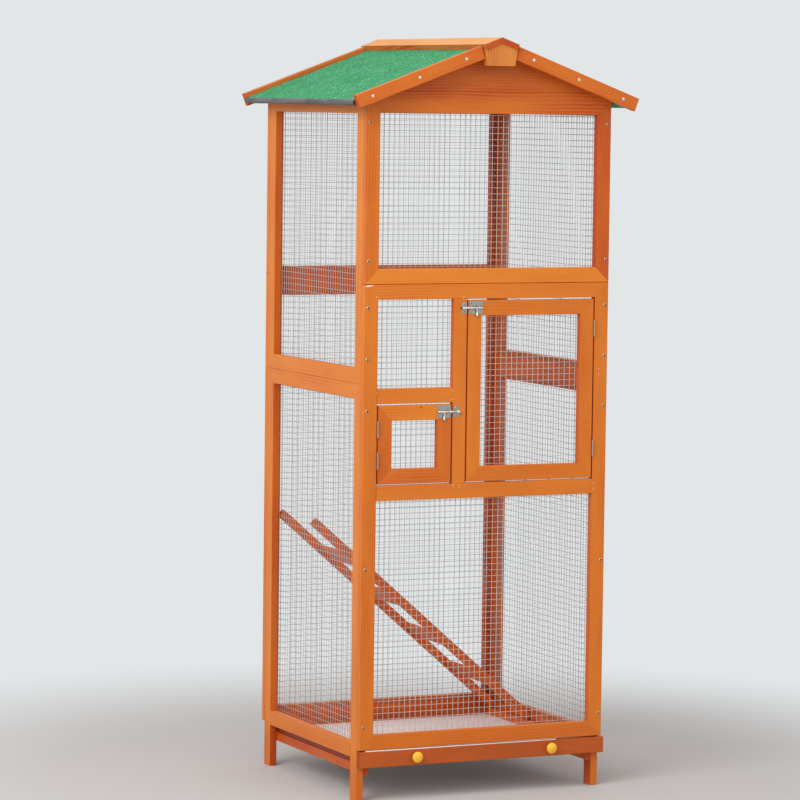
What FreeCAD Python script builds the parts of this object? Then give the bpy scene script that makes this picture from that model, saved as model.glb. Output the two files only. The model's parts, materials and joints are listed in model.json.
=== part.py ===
"""Tall wooden bird cage on four legs, with a felted gable roof.

The frame has its origin on the floor, in the middle under the cage. X runs to the right, Y runs
from the front to the back and Z runs up. All lengths are in millimetres.

The cage is knocked down into flat panels. The front and the back panels cover the edges of the
side panels, and each panel is a mitred softwood frame with a welded wire net on its inner face.
A large door, a small feeding door and a floor drawer open to the front.
"""
import FreeCAD
import Part
import Sketcher
import math
import os
import re

os.makedirs("parts", exist_ok=True)

doc = FreeCAD.newDocument("bird_cage")
sheet = doc.addObject("Spreadsheet::Sheet", "Sizes")

# Driving dimensions
SIZES = {
    # The frame and its members
    "frame_width": 588,
    "frame_depth": 542,
    "member_width": 33,
    "member_thickness": 15.5,
    "side_thickness": 17,
    "arris_radius": 1.6,
    # Openings of the front panels, one above the other
    "front_bottom": 114,
    "lower_opening_height": 507,
    "door_row_height": 400,
    "small_door_opening": 176,
    "upper_opening_height": 333,
    "mullion_left": -82,
    "mullion_width": 32,
    # Gable
    "gable_rise": 30.7,
    "gable_board_width": 48,
    # Heights on the side and back panels
    "side_bottom": 94,
    "side_split": 905.5,
    "back_bottom": 99,
    "back_split": 1102,
    # Wire nets
    "wire_spacing": 13,
    "wire_size": 1.6,
    "net_margin": 10,
    # Doors
    "door_side_gap": 2.5,
    "door_top_gap": 3.5,
    "door_bottom_gap": 2.5,
    # Hinges
    "hinge_height": 36,
    "hinge_leaf_thickness": 0.9,
    "hinge_leaf_depth": 13,
    "hinge_knuckle_radius": 2,
    "hinge_pin_radius": 1,
    "hinge_running_gap": 0.08,
    "hinge_face_gap": 0.3,
    "hinge_knuckle_gap": 0.5,
    "hinge_pin_overhang": 0.8,
    "main_hinge_inset": 68,
    "small_hinge_inset": 54,
    # Barrel bolts
    "bolt_plate_length": 33,
    "bolt_plate_height": 27,
    "bolt_plate_thickness": 1.2,
    "bolt_plate_drop": 2.5,
    "bolt_edge_inset": 1.5,
    "bolt_rod_radius": 2.5,
    "bolt_rod_gap": 0.3,
    "bolt_guide_wall": 1.1,
    "bolt_guide_width": 5,
    "bolt_guide_inset": 0.5,
    "bolt_end_play": 0.6,
    "bolt_throw_past": 2.4,
    "bolt_stem_radius": 1.6,
    "bolt_stem_length": 18,
    "bolt_knob_radius": 3.2,
    "keeper_width": 14,
    "keeper_height": 24,
    "keeper_inset": 1,
    "keeper_loop_width": 7,
    "keeper_loop_offset": 6,
    # Roof
    "roof_slope_angle": 20.3,
    "side_overhang": 45,
    "end_overhang": 43.5,
    "roof_board_thickness": 9,
    "felt_thickness": 2,
    "eave_inset": 5,
    "barge_thickness": 15,
    "barge_height": 29,
    "barge_proud": 10,
    "barge_top_x": 46,
    "cap_overhang": 9,
    "cap_thickness": 12,
    "cap_half_width": 41.5,
    "block_top_half_width": 38,
    "block_bottom_half_width": 32.5,
    "block_height": 48.2,
    "block_depth": 21,
    # Drawer and its runners
    "drawer_top_gap": 3,
    "runner_height": 20.5,
    "runner_thickness": 11.5,
    "drawer_rise": 0.5,
    "drawer_front_proud": 2,
    "drawer_front_height": 35.5,
    "drawer_front_drop": 2.5,
    "drawer_front_shift": 4,
    "drawer_side_gap": 1,
    "drawer_board_thickness": 12,
    "drawer_board_height": 23,
    "drawer_back_gap": 3.5,
    "drawer_floor_rise": 4,
    "drawer_floor_thickness": 3,
    "knob_radius": 12.5,
    "knob_half_depth": 8,
    "knob_neck_radius": 6,
    "knob_neck_length": 9,
    "knob_offset": 163,
    "knob_rise": 18.5,
    # Ladder
    "ladder_slope_angle": 40.9,
    "ladder_drawer_gap": 0.9,
    "ladder_rail_height": 18,
    "ladder_rail_thickness": 18,
    "ladder_front": 35,
    "ladder_width": 203,
    "slat_width": 48,
    "slat_thickness": 8,
    "slat_pitch": 143,
    "slat_start": 123,
    # Screws and nails
    "screw_head_radius": 3.5,
    "screw_head_height": 1.2,
    "screw_tip_radius": 2.2,
    "screw_shank_radius": 1.8,
    "screw_length": 36,
    "runner_screw_length": 25,
    "runner_screw_inset": 4,
    "runner_screw_rise": 3,
    "nail_head_radius": 3.2,
    "nail_head_height": 0.8,
    "nail_shank_radius": 1.2,
    "nail_length": 32,
}

for row, (alias, number) in enumerate(SIZES.items(), start=1):
    sheet.set(f"A{row}", alias)
    sheet.set(f"B{row}", str(number))
    sheet.setAlias(f"B{row}", alias)
doc.recompute()


def size(alias):
    """Read one driving dimension back from the sheet, as a plain number."""
    return float(sheet.get(alias))


def linked(text):
    """Turn words of a formula that name a driving dimension into references to the sheet."""
    def swap(match):
        word = match.group(0)
        return "Sizes." + word if word in SIZES else word
    return re.sub(r"[A-Za-z_]\w*", swap, text)


def bind(thing, prop, text):
    """Tie one property of an object to a formula in the driving dimensions."""
    thing.setExpression(prop, linked(text))


def minus(text):
    return f"-({text})"


def signed(sign, text):
    """The formula itself on the right or back side, and its negative on the left or front."""
    return f"({text})" if sign > 0 else minus(text)


# Formulas for the places that several pieces share
HALF_WIDTH = "(frame_width / 2)"
OPENING_X = "(frame_width / 2 - member_width)"
FRONT_FACE = "(-frame_depth / 2)"
FRONT_BACK = "(-frame_depth / 2 + member_thickness)"
BACK_FRONT = "(frame_depth / 2 - member_thickness)"
BACK_FACE = "(frame_depth / 2)"
SIDE_INNER = "(frame_width / 2 - side_thickness)"
MULLION_RIGHT = "(mullion_left + mullion_width)"

# Heights of the front panels' members, from the lowest up
MIDDLE_RAIL_BOTTOM = "(front_bottom + member_width + lower_opening_height)"
MIDDLE_RAIL_TOP = f"({MIDDLE_RAIL_BOTTOM} + member_width)"
SHORT_RAIL_BOTTOM = f"({MIDDLE_RAIL_TOP} + small_door_opening)"
SHORT_RAIL_TOP = f"({SHORT_RAIL_BOTTOM} + member_width)"
DOOR_ROW_TOP = f"({MIDDLE_RAIL_TOP} + door_row_height)"
FRONT_SPLIT = f"({DOOR_ROW_TOP} + member_width)"
GABLE_BOTTOM = f"({FRONT_SPLIT} + member_width + upper_opening_height)"
GABLE_JOINT = f"({GABLE_BOTTOM} + gable_board_width)"

# Formulas for the roof, whose lines all fall at one slope from the ridge
SIDE_TOP = f"({GABLE_BOTTOM} + gable_rise)"
UNDER_APEX = f"({SIDE_TOP} + {HALF_WIDTH} * tan(roof_slope_angle))"
BOARD_APEX = f"({UNDER_APEX} + roof_board_thickness / cos(roof_slope_angle))"
FELT_APEX = f"({BOARD_APEX} + felt_thickness / cos(roof_slope_angle))"
CAP_APEX = f"({FELT_APEX} + cap_thickness / cos(roof_slope_angle))"
BARGE_APEX = f"({FELT_APEX} + barge_proud / cos(roof_slope_angle))"
ROOF_HALF_SPAN = f"({HALF_WIDTH} + side_overhang)"
ROOF_END = "(frame_depth / 2 + end_overhang)"
BARGE_BACK = f"({ROOF_END} - barge_thickness)"

PLANES = {"front": "XZ_Plane", "side": "YZ_Plane", "top": "XY_Plane"}
ALONG_X = FreeCAD.Vector(1, 0, 0)
ALONG_Y = FreeCAD.Vector(0, 1, 0)
ALONG_Z = FreeCAD.Vector(0, 0, 1)


def origin_plane(body, view):
    for feature in body.Origin.OriginFeatures:
        if feature.Role == PLANES[view]:
            return feature
    raise ValueError(view)


def long_edges(shape, direction):
    """Names of the straight edges of a solid that run along one direction."""
    names = []
    for number, edge in enumerate(shape.Edges, start=1):
        along = edge.tangentAt(edge.FirstParameter)
        if edge.Curve.TypeId == "Part::GeomLine" and abs(along.dot(direction)) > 0.999:
            names.append(f"Edge{number}")
    return names


def plate(name, view, points, low, high, rounded=None):
    """A flat piece: an outline drawn in one view and padded between two places across that view.

    The points of the outline are pairs of formulas: X and Z in the front view, Y and Z in the
    side view. The edges along the direction in rounded get the arris radius.
    """
    body = doc.addObject("PartDesign::Body", name)
    sketch = body.newObject("Sketcher::SketchObject", name + "_outline")
    sketch.AttachmentSupport = [(origin_plane(body, view), "")]
    sketch.MapMode = "FlatFace"
    if view == "front":
        bind(sketch, "AttachmentOffset.Base.z", minus(high))
    else:
        bind(sketch, "AttachmentOffset.Base.z", low)
    count = len(points)
    turn = 2 * math.pi / count
    ring = [FreeCAD.Vector(math.cos(turn * index), math.sin(turn * index), 0) for index in range(count)]
    for index in range(count):
        sketch.addGeometry(Part.LineSegment(ring[index], ring[(index + 1) % count]), False)
    for index in range(count):
        sketch.addConstraint(Sketcher.Constraint("Coincident", index, 2, (index + 1) % count, 1))
    for index, (across, up) in enumerate(points):
        for kind, formula in (("DistanceX", across), ("DistanceY", up)):
            place = sketch.addConstraint(Sketcher.Constraint(kind, -1, 1, index, 1, 0))
            bind(sketch, f"Constraints[{place}]", formula)
    pad = body.newObject("PartDesign::Pad", name + "_pad")
    pad.Profile = sketch
    bind(pad, "Length", f"({high}) - ({low})")
    doc.recompute([sketch, pad])
    if rounded:
        fillet = body.newObject("PartDesign::Fillet", name + "_arris")
        fillet.Base = (pad, long_edges(pad.Shape, rounded))
        bind(fillet, "Radius", "arris_radius")
        body.Tip = fillet
    return body


def box(name, lows, highs):
    """A plain block between two opposite corners, each given as three formulas."""
    block = doc.addObject("Part::Box", name)
    for axis, prop, low, high in zip("xyz", ("Length", "Width", "Height"), lows, highs):
        bind(block, prop, f"({high}) - ({low})")
        bind(block, f"Placement.Base.{axis}", low)
    return block


TURNS = {
    "x": FreeCAD.Rotation(ALONG_Y, 90),
    "y": FreeCAD.Rotation(ALONG_X, -90),
    "z": FreeCAD.Rotation(),
}


def rod(name, along, start, radius, length):
    """A cylinder that runs from a start point along one axis, towards larger values."""
    cylinder = doc.addObject("Part::Cylinder", name)
    cylinder.Placement = FreeCAD.Placement(FreeCAD.Vector(), TURNS[along])
    for axis, formula in zip("xyz", start):
        bind(cylinder, f"Placement.Base.{axis}", formula)
    bind(cylinder, "Radius", radius)
    bind(cylinder, "Height", length)
    return cylinder


def ball(name, centre, radius):
    sphere = doc.addObject("Part::Sphere", name)
    for axis, formula in zip("xyz", centre):
        bind(sphere, f"Placement.Base.{axis}", formula)
    bind(sphere, "Radius", radius)
    return sphere


def joined(name, pieces):
    """Several solids made into one."""
    fusion = doc.addObject("Part::MultiFuse", name)
    fusion.Shapes = pieces
    return fusion


def drilled(name, base, tool):
    cut = doc.addObject("Part::Cut", name)
    cut.Base = base
    cut.Tool = tool
    return cut


subparts = []


def keep(label, pieces):
    """Make one named sub-part of a piece, or of a group of separate like pieces."""
    if len(pieces) == 1:
        node = pieces[0]
    else:
        node = doc.addObject("Part::Compound", label + "_group")
        node.Links = pieces
    node.Label = label
    subparts.append(node)
    return node


# Members of the mitred frames. Each runs between two places and is one member wide; mitred ends
# are cut back by that width on the inner edge.
def rail(name, left, right, outer, inner, low, high, mitre="member_width", view="front"):
    points = [
        (left, outer), (right, outer),
        (f"({right}) - ({mitre})", inner), (f"({left}) + ({mitre})", inner),
    ]
    return plate(name, view, points, low, high, ALONG_X if view == "front" else ALONG_Y)


def stile(name, bottom, top, outer, inner, low, high, bottom_mitre="0", top_mitre="0", view="front"):
    points = [
        (outer, bottom), (outer, top),
        (inner, f"({top}) - ({top_mitre})"), (inner, f"({bottom}) + ({bottom_mitre})"),
    ]
    return plate(name, view, points, low, high, ALONG_Z)


def gable_stile(name, sign, bottom, low, high):
    """A stile of an upper panel, mitred at its foot to the rail and at its top to the gable."""
    points = [
        (signed(sign, HALF_WIDTH), bottom),
        (signed(sign, HALF_WIDTH), SIDE_TOP),
        (signed(sign, OPENING_X), GABLE_BOTTOM),
        (signed(sign, OPENING_X), f"({bottom}) + member_width"),
    ]
    return plate(name, "front", points, low, high, ALONG_Z)


def gable_boards(prefix, low, high):
    """Two boards that fill the gable, cut to the slope of the roof. The lower one is mitred to the stiles."""
    shoulder = f"(({UNDER_APEX} - {GABLE_JOINT}) / tan(roof_slope_angle))"
    lower = plate(prefix + "_lower_board", "front", [
        (minus(OPENING_X), GABLE_BOTTOM), (OPENING_X, GABLE_BOTTOM),
        (HALF_WIDTH, SIDE_TOP), (shoulder, GABLE_JOINT),
        (minus(shoulder), GABLE_JOINT), (minus(HALF_WIDTH), SIDE_TOP),
    ], low, high, ALONG_X)
    upper = plate(prefix + "_upper_board", "front", [
        (minus(shoulder), GABLE_JOINT), (shoulder, GABLE_JOINT), ("0", UNDER_APEX),
    ], low, high)
    return [lower, upper]


def net(label, view, members, side):
    """A welded wire net as one holed sheet, lapped onto the frame by the net margin.

    members are the four pieces round the opening: the one before it and the one after it across
    the view, the one under it and the one over it. The sheet lies on their face on the given side
    and is as thick as two crossing wires. Where the true spacing would give too many gaps, the
    gaps are two, three or four spacings wide.
    """
    most_gaps = 200
    doc.recompute()
    before, after, under, over = [doc.getObject(name).Shape.BoundBox for name in members]
    margin = size("net_margin")
    wire = size("wire_size")
    if view == "front":
        low_across, high_across = before.XMax - margin, after.XMin + margin
        plane = before.YMax if side > 0 else before.YMin
    else:
        low_across, high_across = before.YMax - margin, after.YMin + margin
        plane = before.XMax if side > 0 else before.XMin
    low_up = under.ZMax - margin
    high_up = over.ZMin + margin
    spacings = 1
    while True:
        pitch = size("wire_spacing") * spacings
        columns = round((high_across - low_across) / pitch)
        rows = round((high_up - low_up) / pitch)
        if columns * rows <= most_gaps:
            break
        spacings += 1
    step_across = (high_across - low_across - wire) / columns
    step_up = (high_up - low_up - wire) / rows

    def corner(a, b):
        if view == "front":
            return FreeCAD.Vector(a, plane, b)
        return FreeCAD.Vector(plane, a, b)

    outline = [corner(low_across, low_up), corner(high_across, low_up),
               corner(high_across, high_up), corner(low_across, high_up)]
    wires = [Part.makePolygon(outline + outline[:1])]
    for column in range(columns):
        a0 = low_across + wire + column * step_across
        a1 = a0 + step_across - wire
        for row in range(rows):
            b0 = low_up + wire + row * step_up
            b1 = b0 + step_up - wire
            gap = [corner(a0, b0), corner(a0, b1), corner(a1, b1), corner(a1, b0)]
            wires.append(Part.makePolygon(gap + gap[:1]))
    thickness = FreeCAD.Vector(0, side * wire, 0) if view == "front" else FreeCAD.Vector(side * wire, 0, 0)
    node = doc.addObject("Part::Feature", label)
    node.Shape = Part.Face(wires).extrude(thickness)
    node.Placement = FreeCAD.Placement()
    subparts.append(node)
    print(label, "has", columns * rows, "gaps", round(step_across, 2), "by", round(step_up, 2))
    return node


# Front upper panel
keep("front_upper_stiles", [
    gable_stile("front_upper_left_stile", -1, FRONT_SPLIT, FRONT_FACE, FRONT_BACK),
    gable_stile("front_upper_right_stile", 1, FRONT_SPLIT, FRONT_FACE, FRONT_BACK),
])
keep("front_upper_rail", [
    rail("front_upper_bottom_rail", minus(HALF_WIDTH), HALF_WIDTH,
         FRONT_SPLIT, f"{FRONT_SPLIT} + member_width", FRONT_FACE, FRONT_BACK),
])
keep("front_gable_boards", gable_boards("front_gable", FRONT_FACE, FRONT_BACK))
net("front_upper_net", "front", ("front_upper_left_stile", "front_upper_right_stile",
                                 "front_upper_bottom_rail", "front_gable_lower_board"), 1)

# Front lower panel, with the doors' row above the lower net
keep("front_lower_stiles", [
    stile("front_lower_left_stile", "front_bottom", FRONT_SPLIT, minus(HALF_WIDTH), minus(OPENING_X),
          FRONT_FACE, FRONT_BACK, "member_width", "member_width"),
    stile("front_lower_right_stile", "front_bottom", FRONT_SPLIT, HALF_WIDTH, OPENING_X,
          FRONT_FACE, FRONT_BACK, "member_width", "member_width"),
])
keep("front_lower_rails", [
    rail("front_top_rail", minus(HALF_WIDTH), HALF_WIDTH, FRONT_SPLIT, DOOR_ROW_TOP,
         FRONT_FACE, FRONT_BACK),
    rail("front_middle_rail", minus(OPENING_X), OPENING_X, MIDDLE_RAIL_BOTTOM, MIDDLE_RAIL_TOP,
         FRONT_FACE, FRONT_BACK, "0"),
    rail("front_bottom_rail", minus(HALF_WIDTH), HALF_WIDTH, "front_bottom",
         "front_bottom + member_width", FRONT_FACE, FRONT_BACK),
])
keep("front_mullion", [
    stile("front_mullion_post", MIDDLE_RAIL_TOP, DOOR_ROW_TOP, "mullion_left", MULLION_RIGHT,
          FRONT_FACE, FRONT_BACK),
])
keep("front_short_rail", [
    rail("front_short_rail_bar", minus(OPENING_X), "mullion_left", SHORT_RAIL_BOTTOM,
         SHORT_RAIL_TOP, FRONT_FACE, FRONT_BACK, "0"),
])
net("front_lower_net", "front", ("front_lower_left_stile", "front_lower_right_stile",
                                 "front_bottom_rail", "front_middle_rail"), 1)
net("front_window_net", "front", ("front_lower_left_stile", "front_mullion_post",
                                  "front_short_rail_bar", "front_top_rail"), 1)


def door(prefix, left, right, bottom, top):
    """A door leaf inside its opening: two mitred stiles, two mitred rails and a net."""
    leaf_left = f"({left} + door_side_gap)"
    leaf_right = f"({right} - door_side_gap)"
    leaf_bottom = f"({bottom} + door_bottom_gap)"
    leaf_top = f"({top} - door_top_gap)"
    keep(prefix + "_stiles", [
        stile(prefix + "_left_stile", leaf_bottom, leaf_top, leaf_left, f"{leaf_left} + member_width",
              FRONT_FACE, FRONT_BACK, "member_width", "member_width"),
        stile(prefix + "_right_stile", leaf_bottom, leaf_top, leaf_right, f"{leaf_right} - member_width",
              FRONT_FACE, FRONT_BACK, "member_width", "member_width"),
    ])
    keep(prefix + "_rails", [
        rail(prefix + "_bottom_rail", leaf_left, leaf_right, leaf_bottom, f"{leaf_bottom} + member_width",
             FRONT_FACE, FRONT_BACK),
        rail(prefix + "_top_rail", leaf_left, leaf_right, leaf_top, f"{leaf_top} - member_width",
             FRONT_FACE, FRONT_BACK),
    ])
    net(prefix + "_net", "front", (prefix + "_left_stile", prefix + "_right_stile",
                                   prefix + "_bottom_rail", prefix + "_top_rail"), 1)


# Hinges. The knuckles stand just proud of the front face, over the middle of the gap, and the
# leaves lie in the gap, one on each edge.
PIN_Y = f"({FRONT_FACE} - hinge_face_gap - hinge_knuckle_radius)"
KNUCKLE_LENGTH = "((hinge_height - 2 * hinge_knuckle_gap) / 3)"


def hinge(name, side, edge_x, middle):
    """One butt hinge. The frame leaf lies on the frame's edge at edge_x; side points to the frame.

    Returns the frame leaf, the door leaf and the pin.
    """
    pin_x = f"({edge_x} - ({side}) * door_side_gap / 2)"
    bottom = f"({middle} - hinge_height / 2)"
    top = f"({middle} + hinge_height / 2)"
    middle_low = f"({bottom} + {KNUCKLE_LENGTH} + hinge_knuckle_gap)"
    middle_high = f"({middle_low} + {KNUCKLE_LENGTH})"
    leaf_front = f"({FRONT_FACE} + hinge_running_gap)"
    door_edge = f"({edge_x} - ({side}) * door_side_gap)"

    def leaf(part, outer, towards, knuckles):
        """A leaf on the face at outer, whose thickness grows towards the other leaf."""
        inner = f"({outer} + ({towards}) * hinge_leaf_thickness)"
        low_x, high_x = (outer, inner) if towards > 0 else (inner, outer)
        pieces = [box(f"{name}_{part}_flap", (low_x, leaf_front, bottom),
                      (high_x, f"{leaf_front} + hinge_leaf_depth", top))]
        for number, (low, high) in enumerate(knuckles, start=1):
            pieces.append(box(f"{name}_{part}_neck_{number}", (low_x, PIN_Y, low), (high_x, leaf_front, high)))
            pieces.append(rod(f"{name}_{part}_knuckle_{number}", "z", (pin_x, PIN_Y, low),
                              "hinge_knuckle_radius", f"{high} - {low}"))
        solid = joined(f"{name}_{part}_solid", pieces)
        bore_radius = "hinge_pin_radius" if part == "frame" else "hinge_pin_radius + hinge_running_gap"
        bore = rod(f"{name}_{part}_bore", "z", (pin_x, PIN_Y, bottom), bore_radius, "hinge_height")
        return drilled(f"{name}_{part}_leaf", solid, bore)

    frame_leaf = leaf("frame", edge_x, -side, [
        (bottom, f"({bottom} + {KNUCKLE_LENGTH})"), (f"({top} - {KNUCKLE_LENGTH})", top),
    ])
    door_leaf = leaf("door", door_edge, side, [(middle_low, middle_high)])
    pin = rod(f"{name}_pin", "z", (pin_x, PIN_Y, f"{bottom} - hinge_pin_overhang"),
              "hinge_pin_radius", "hinge_height + 2 * hinge_pin_overhang")
    return frame_leaf, door_leaf, pin


def bolt(prefix, shoot, leaf_edge, frame_edge, leaf_top):
    """A small barrel bolt on a door leaf, with its keeper on the frame.

    shoot is the direction in X in which the rod is pushed home. The rod is drawn back, with its
    tip just clear of the keeper's loop.
    """
    rod_z = f"({leaf_top} - bolt_plate_drop - bolt_plate_height / 2)"
    plate_front = f"({FRONT_FACE} - bolt_plate_thickness)"
    rod_y = f"({plate_front} - bolt_rod_gap - bolt_rod_radius)"
    bore_radius = "(bolt_rod_radius + bolt_rod_gap)"
    guide_radius = f"({bore_radius} + bolt_guide_wall)"
    travel = "(bolt_end_play + keeper_loop_width + bolt_throw_past)"
    plate_start = "bolt_edge_inset"
    first_guide = f"({plate_start} + bolt_guide_inset)"
    stem_space = f"(2 * bolt_stem_radius + {travel} + 2 * bolt_end_play)"
    second_guide = f"({first_guide} + bolt_guide_width + {stem_space})"
    stem_place = f"({second_guide} - bolt_end_play - bolt_stem_radius)"

    def span(edge, near, far):
        """X of the two ends of a piece between two distances from an edge, into the leaf."""
        ends = (f"({edge} - ({shoot}) * ({near}))", f"({edge} - ({shoot}) * ({far}))")
        return ends if shoot < 0 else (ends[1], ends[0])

    def loops(part, edge, spans, low, high, plate_span):
        """A base plate with loops over the rod's line, bored for the rod."""
        left, right = plate_span
        pieces = [box(f"{prefix}_{part}_base", (left, plate_front, low), (right, FRONT_FACE, high))]
        for number, (near, far) in enumerate(spans, start=1):
            start, end = span(edge, near, far)
            pieces.append(box(f"{prefix}_{part}_foot_{number}", (start, rod_y, f"{rod_z} - {guide_radius}"),
                              (end, FRONT_FACE, f"{rod_z} + {guide_radius}")))
            pieces.append(rod(f"{prefix}_{part}_loop_{number}", "x", (start, rod_y, rod_z),
                              guide_radius, f"{end} - {start}"))
        solid = joined(f"{prefix}_{part}_solid", pieces)
        bore = rod(f"{prefix}_{part}_bore", "x", (left, rod_y, rod_z), bore_radius, f"{right} - {left}")
        return drilled(f"{prefix}_{part}", solid, bore)

    plate_span = span(leaf_edge, plate_start, f"{plate_start} + bolt_plate_length")
    keep(prefix + "_plate", [loops("plate", leaf_edge, [
        (first_guide, f"{first_guide} + bolt_guide_width"),
        (second_guide, f"{second_guide} + bolt_guide_width"),
    ], f"{rod_z} - bolt_plate_height / 2", f"{rod_z} + bolt_plate_height / 2", plate_span)])

    loop_near = "(keeper_inset + keeper_loop_offset)"
    loop_far = f"({loop_near} + keeper_loop_width)"
    keeper_span = span(frame_edge, "-keeper_inset", "-(keeper_inset + keeper_width)")
    keeper_span = (keeper_span[1], keeper_span[0])
    keep(prefix + "_keeper", [loops("keeper", frame_edge, [
        (minus(loop_far), minus(loop_near)),
    ], f"{rod_z} - keeper_height / 2", f"{rod_z} + keeper_height / 2", keeper_span)])

    tip = f"({frame_edge} + ({shoot}) * ({loop_near} - bolt_end_play))"
    tail = f"({leaf_edge} - ({shoot}) * ({plate_start} + bolt_plate_length))"
    rod_start, rod_end = (tip, tail) if shoot < 0 else (tail, tip)
    stem_x = f"({leaf_edge} - ({shoot}) * {stem_place})"
    stem_low = f"({rod_z} - bolt_stem_length)"
    keep(prefix + "_rod", [joined(prefix + "_rod_solid", [
        rod(prefix + "_shaft", "x", (rod_start, rod_y, rod_z), "bolt_rod_radius", f"{rod_end} - {rod_start}"),
        rod(prefix + "_stem", "z", (stem_x, rod_y, stem_low), "bolt_stem_radius", "bolt_stem_length"),
        ball(prefix + "_knob", (stem_x, rod_y, stem_low), "bolt_knob_radius"),
    ])])


# Doors
door("main_door", MULLION_RIGHT, OPENING_X, MIDDLE_RAIL_TOP, DOOR_ROW_TOP)
door("small_door", minus(OPENING_X), "mullion_left", MIDDLE_RAIL_TOP, SHORT_RAIL_BOTTOM)

main_hinges = [
    hinge("main_lower_hinge", 1, OPENING_X, f"({MIDDLE_RAIL_TOP} + main_hinge_inset)"),
    hinge("main_upper_hinge", 1, OPENING_X, f"({DOOR_ROW_TOP} - main_hinge_inset)"),
]
small_hinges = [
    hinge("small_lower_hinge", -1, minus(OPENING_X), f"({MIDDLE_RAIL_TOP} + small_hinge_inset)"),
    hinge("small_upper_hinge", -1, minus(OPENING_X), f"({SHORT_RAIL_BOTTOM} - small_hinge_inset)"),
]
keep("main_door_hinge_leaves", [parts[1] for parts in main_hinges])
keep("small_door_hinge_leaves", [parts[1] for parts in small_hinges])
keep("frame_hinge_leaves", [parts[0] for parts in main_hinges + small_hinges])
keep("hinge_pins", [parts[2] for parts in main_hinges + small_hinges])

bolt("main_bolt", -1, f"({MULLION_RIGHT} + door_side_gap)", MULLION_RIGHT, f"({DOOR_ROW_TOP} - door_top_gap)")
bolt("small_bolt", 1, "(mullion_left - door_side_gap)", "mullion_left", f"({SHORT_RAIL_BOTTOM} - door_top_gap)")


# Side panels, set in between the front and the back panels. The stiles of the lower panels run on
# down to the floor as the legs.
def side_panels(side, sign):
    inner, outer = (SIDE_INNER, HALF_WIDTH) if sign > 0 else (minus(HALF_WIDTH), minus(SIDE_INNER))
    front, back = FRONT_BACK, BACK_FRONT
    inner_front = f"({front} + member_width)"
    inner_back = f"({back} - member_width)"
    keep(side + "_legs", [
        stile(f"{side}_{name}_leg", "0", "side_split", edge, inside, inner, outer,
              "0", "member_width", "side")
        for name, edge, inside in (("front", front, inner_front), ("rear", back, inner_back))
    ])
    keep(side + "_lower_rails", [
        rail(side + "_bottom_rail", inner_front, inner_back, "side_bottom", "side_bottom + member_width",
             inner, outer, "0", "side"),
        rail(side + "_lower_top_rail", front, back, "side_split", "side_split - member_width",
             inner, outer, "member_width", "side"),
    ])
    keep(side + "_upper_stiles", [
        stile(f"{side}_upper_{name}_stile", "side_split", SIDE_TOP, edge, inside, inner, outer,
              "member_width", "member_width", "side")
        for name, edge, inside in (("front", front, inner_front), ("rear", back, inner_back))
    ])
    keep(side + "_upper_rails", [
        rail(side + "_upper_bottom_rail", front, back, "side_split", "side_split + member_width",
             inner, outer, "member_width", "side"),
        rail(side + "_top_rail", front, back, SIDE_TOP, f"{SIDE_TOP} - member_width",
             inner, outer, "member_width", "side"),
    ])
    net(side + "_lower_net", "side", (side + "_front_leg", side + "_rear_leg",
                                      side + "_bottom_rail", side + "_lower_top_rail"), -sign)
    net(side + "_upper_net", "side", (side + "_upper_front_stile", side + "_upper_rear_stile",
                                      side + "_upper_bottom_rail", side + "_top_rail"), -sign)


side_panels("left", -1)
side_panels("right", 1)

# Back panels
keep("back_upper_stiles", [
    gable_stile("back_upper_left_stile", -1, "back_split", BACK_FRONT, BACK_FACE),
    gable_stile("back_upper_right_stile", 1, "back_split", BACK_FRONT, BACK_FACE),
])
keep("back_upper_rail", [
    rail("back_upper_bottom_rail", minus(HALF_WIDTH), HALF_WIDTH,
         "back_split", "back_split + member_width", BACK_FRONT, BACK_FACE),
])
keep("back_gable_boards", gable_boards("back_gable", BACK_FRONT, BACK_FACE))
net("back_upper_net", "front", ("back_upper_left_stile", "back_upper_right_stile",
                                "back_upper_bottom_rail", "back_gable_lower_board"), -1)
keep("back_lower_stiles", [
    stile("back_lower_left_stile", "back_bottom", "back_split", minus(HALF_WIDTH), minus(OPENING_X),
          BACK_FRONT, BACK_FACE, "member_width", "member_width"),
    stile("back_lower_right_stile", "back_bottom", "back_split", HALF_WIDTH, OPENING_X,
          BACK_FRONT, BACK_FACE, "member_width", "member_width"),
])
keep("back_lower_rails", [
    rail("back_lower_top_rail", minus(HALF_WIDTH), HALF_WIDTH, "back_split",
         "back_split - member_width", BACK_FRONT, BACK_FACE),
    rail("back_lower_bottom_rail", minus(HALF_WIDTH), HALF_WIDTH, "back_bottom",
         "back_bottom + member_width", BACK_FRONT, BACK_FACE),
])
net("back_lower_net", "front", ("back_lower_left_stile", "back_lower_right_stile",
                                "back_lower_bottom_rail", "back_lower_top_rail"), -1)


# Roof. A point on the slope is given by its distance from the middle, and depths below the
# felt's top surface are measured square to the slope.
def below(across, apex):
    return f"({apex} - ({across}) * tan(roof_slope_angle))"


EAVE_X = f"({ROOF_HALF_SPAN} - eave_inset)"


def roof_board(sign):
    across = EAVE_X
    return plate(f"roof_board_{'right' if sign > 0 else 'left'}", "front", [
        ("0", BOARD_APEX), (signed(sign, across), below(across, BOARD_APEX)),
        (signed(sign, f"{across} - roof_board_thickness * sin(roof_slope_angle)"),
         f"{below(across, BOARD_APEX)} - roof_board_thickness * cos(roof_slope_angle)"),
        ("0", UNDER_APEX),
    ], minus(BARGE_BACK), BARGE_BACK)


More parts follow.
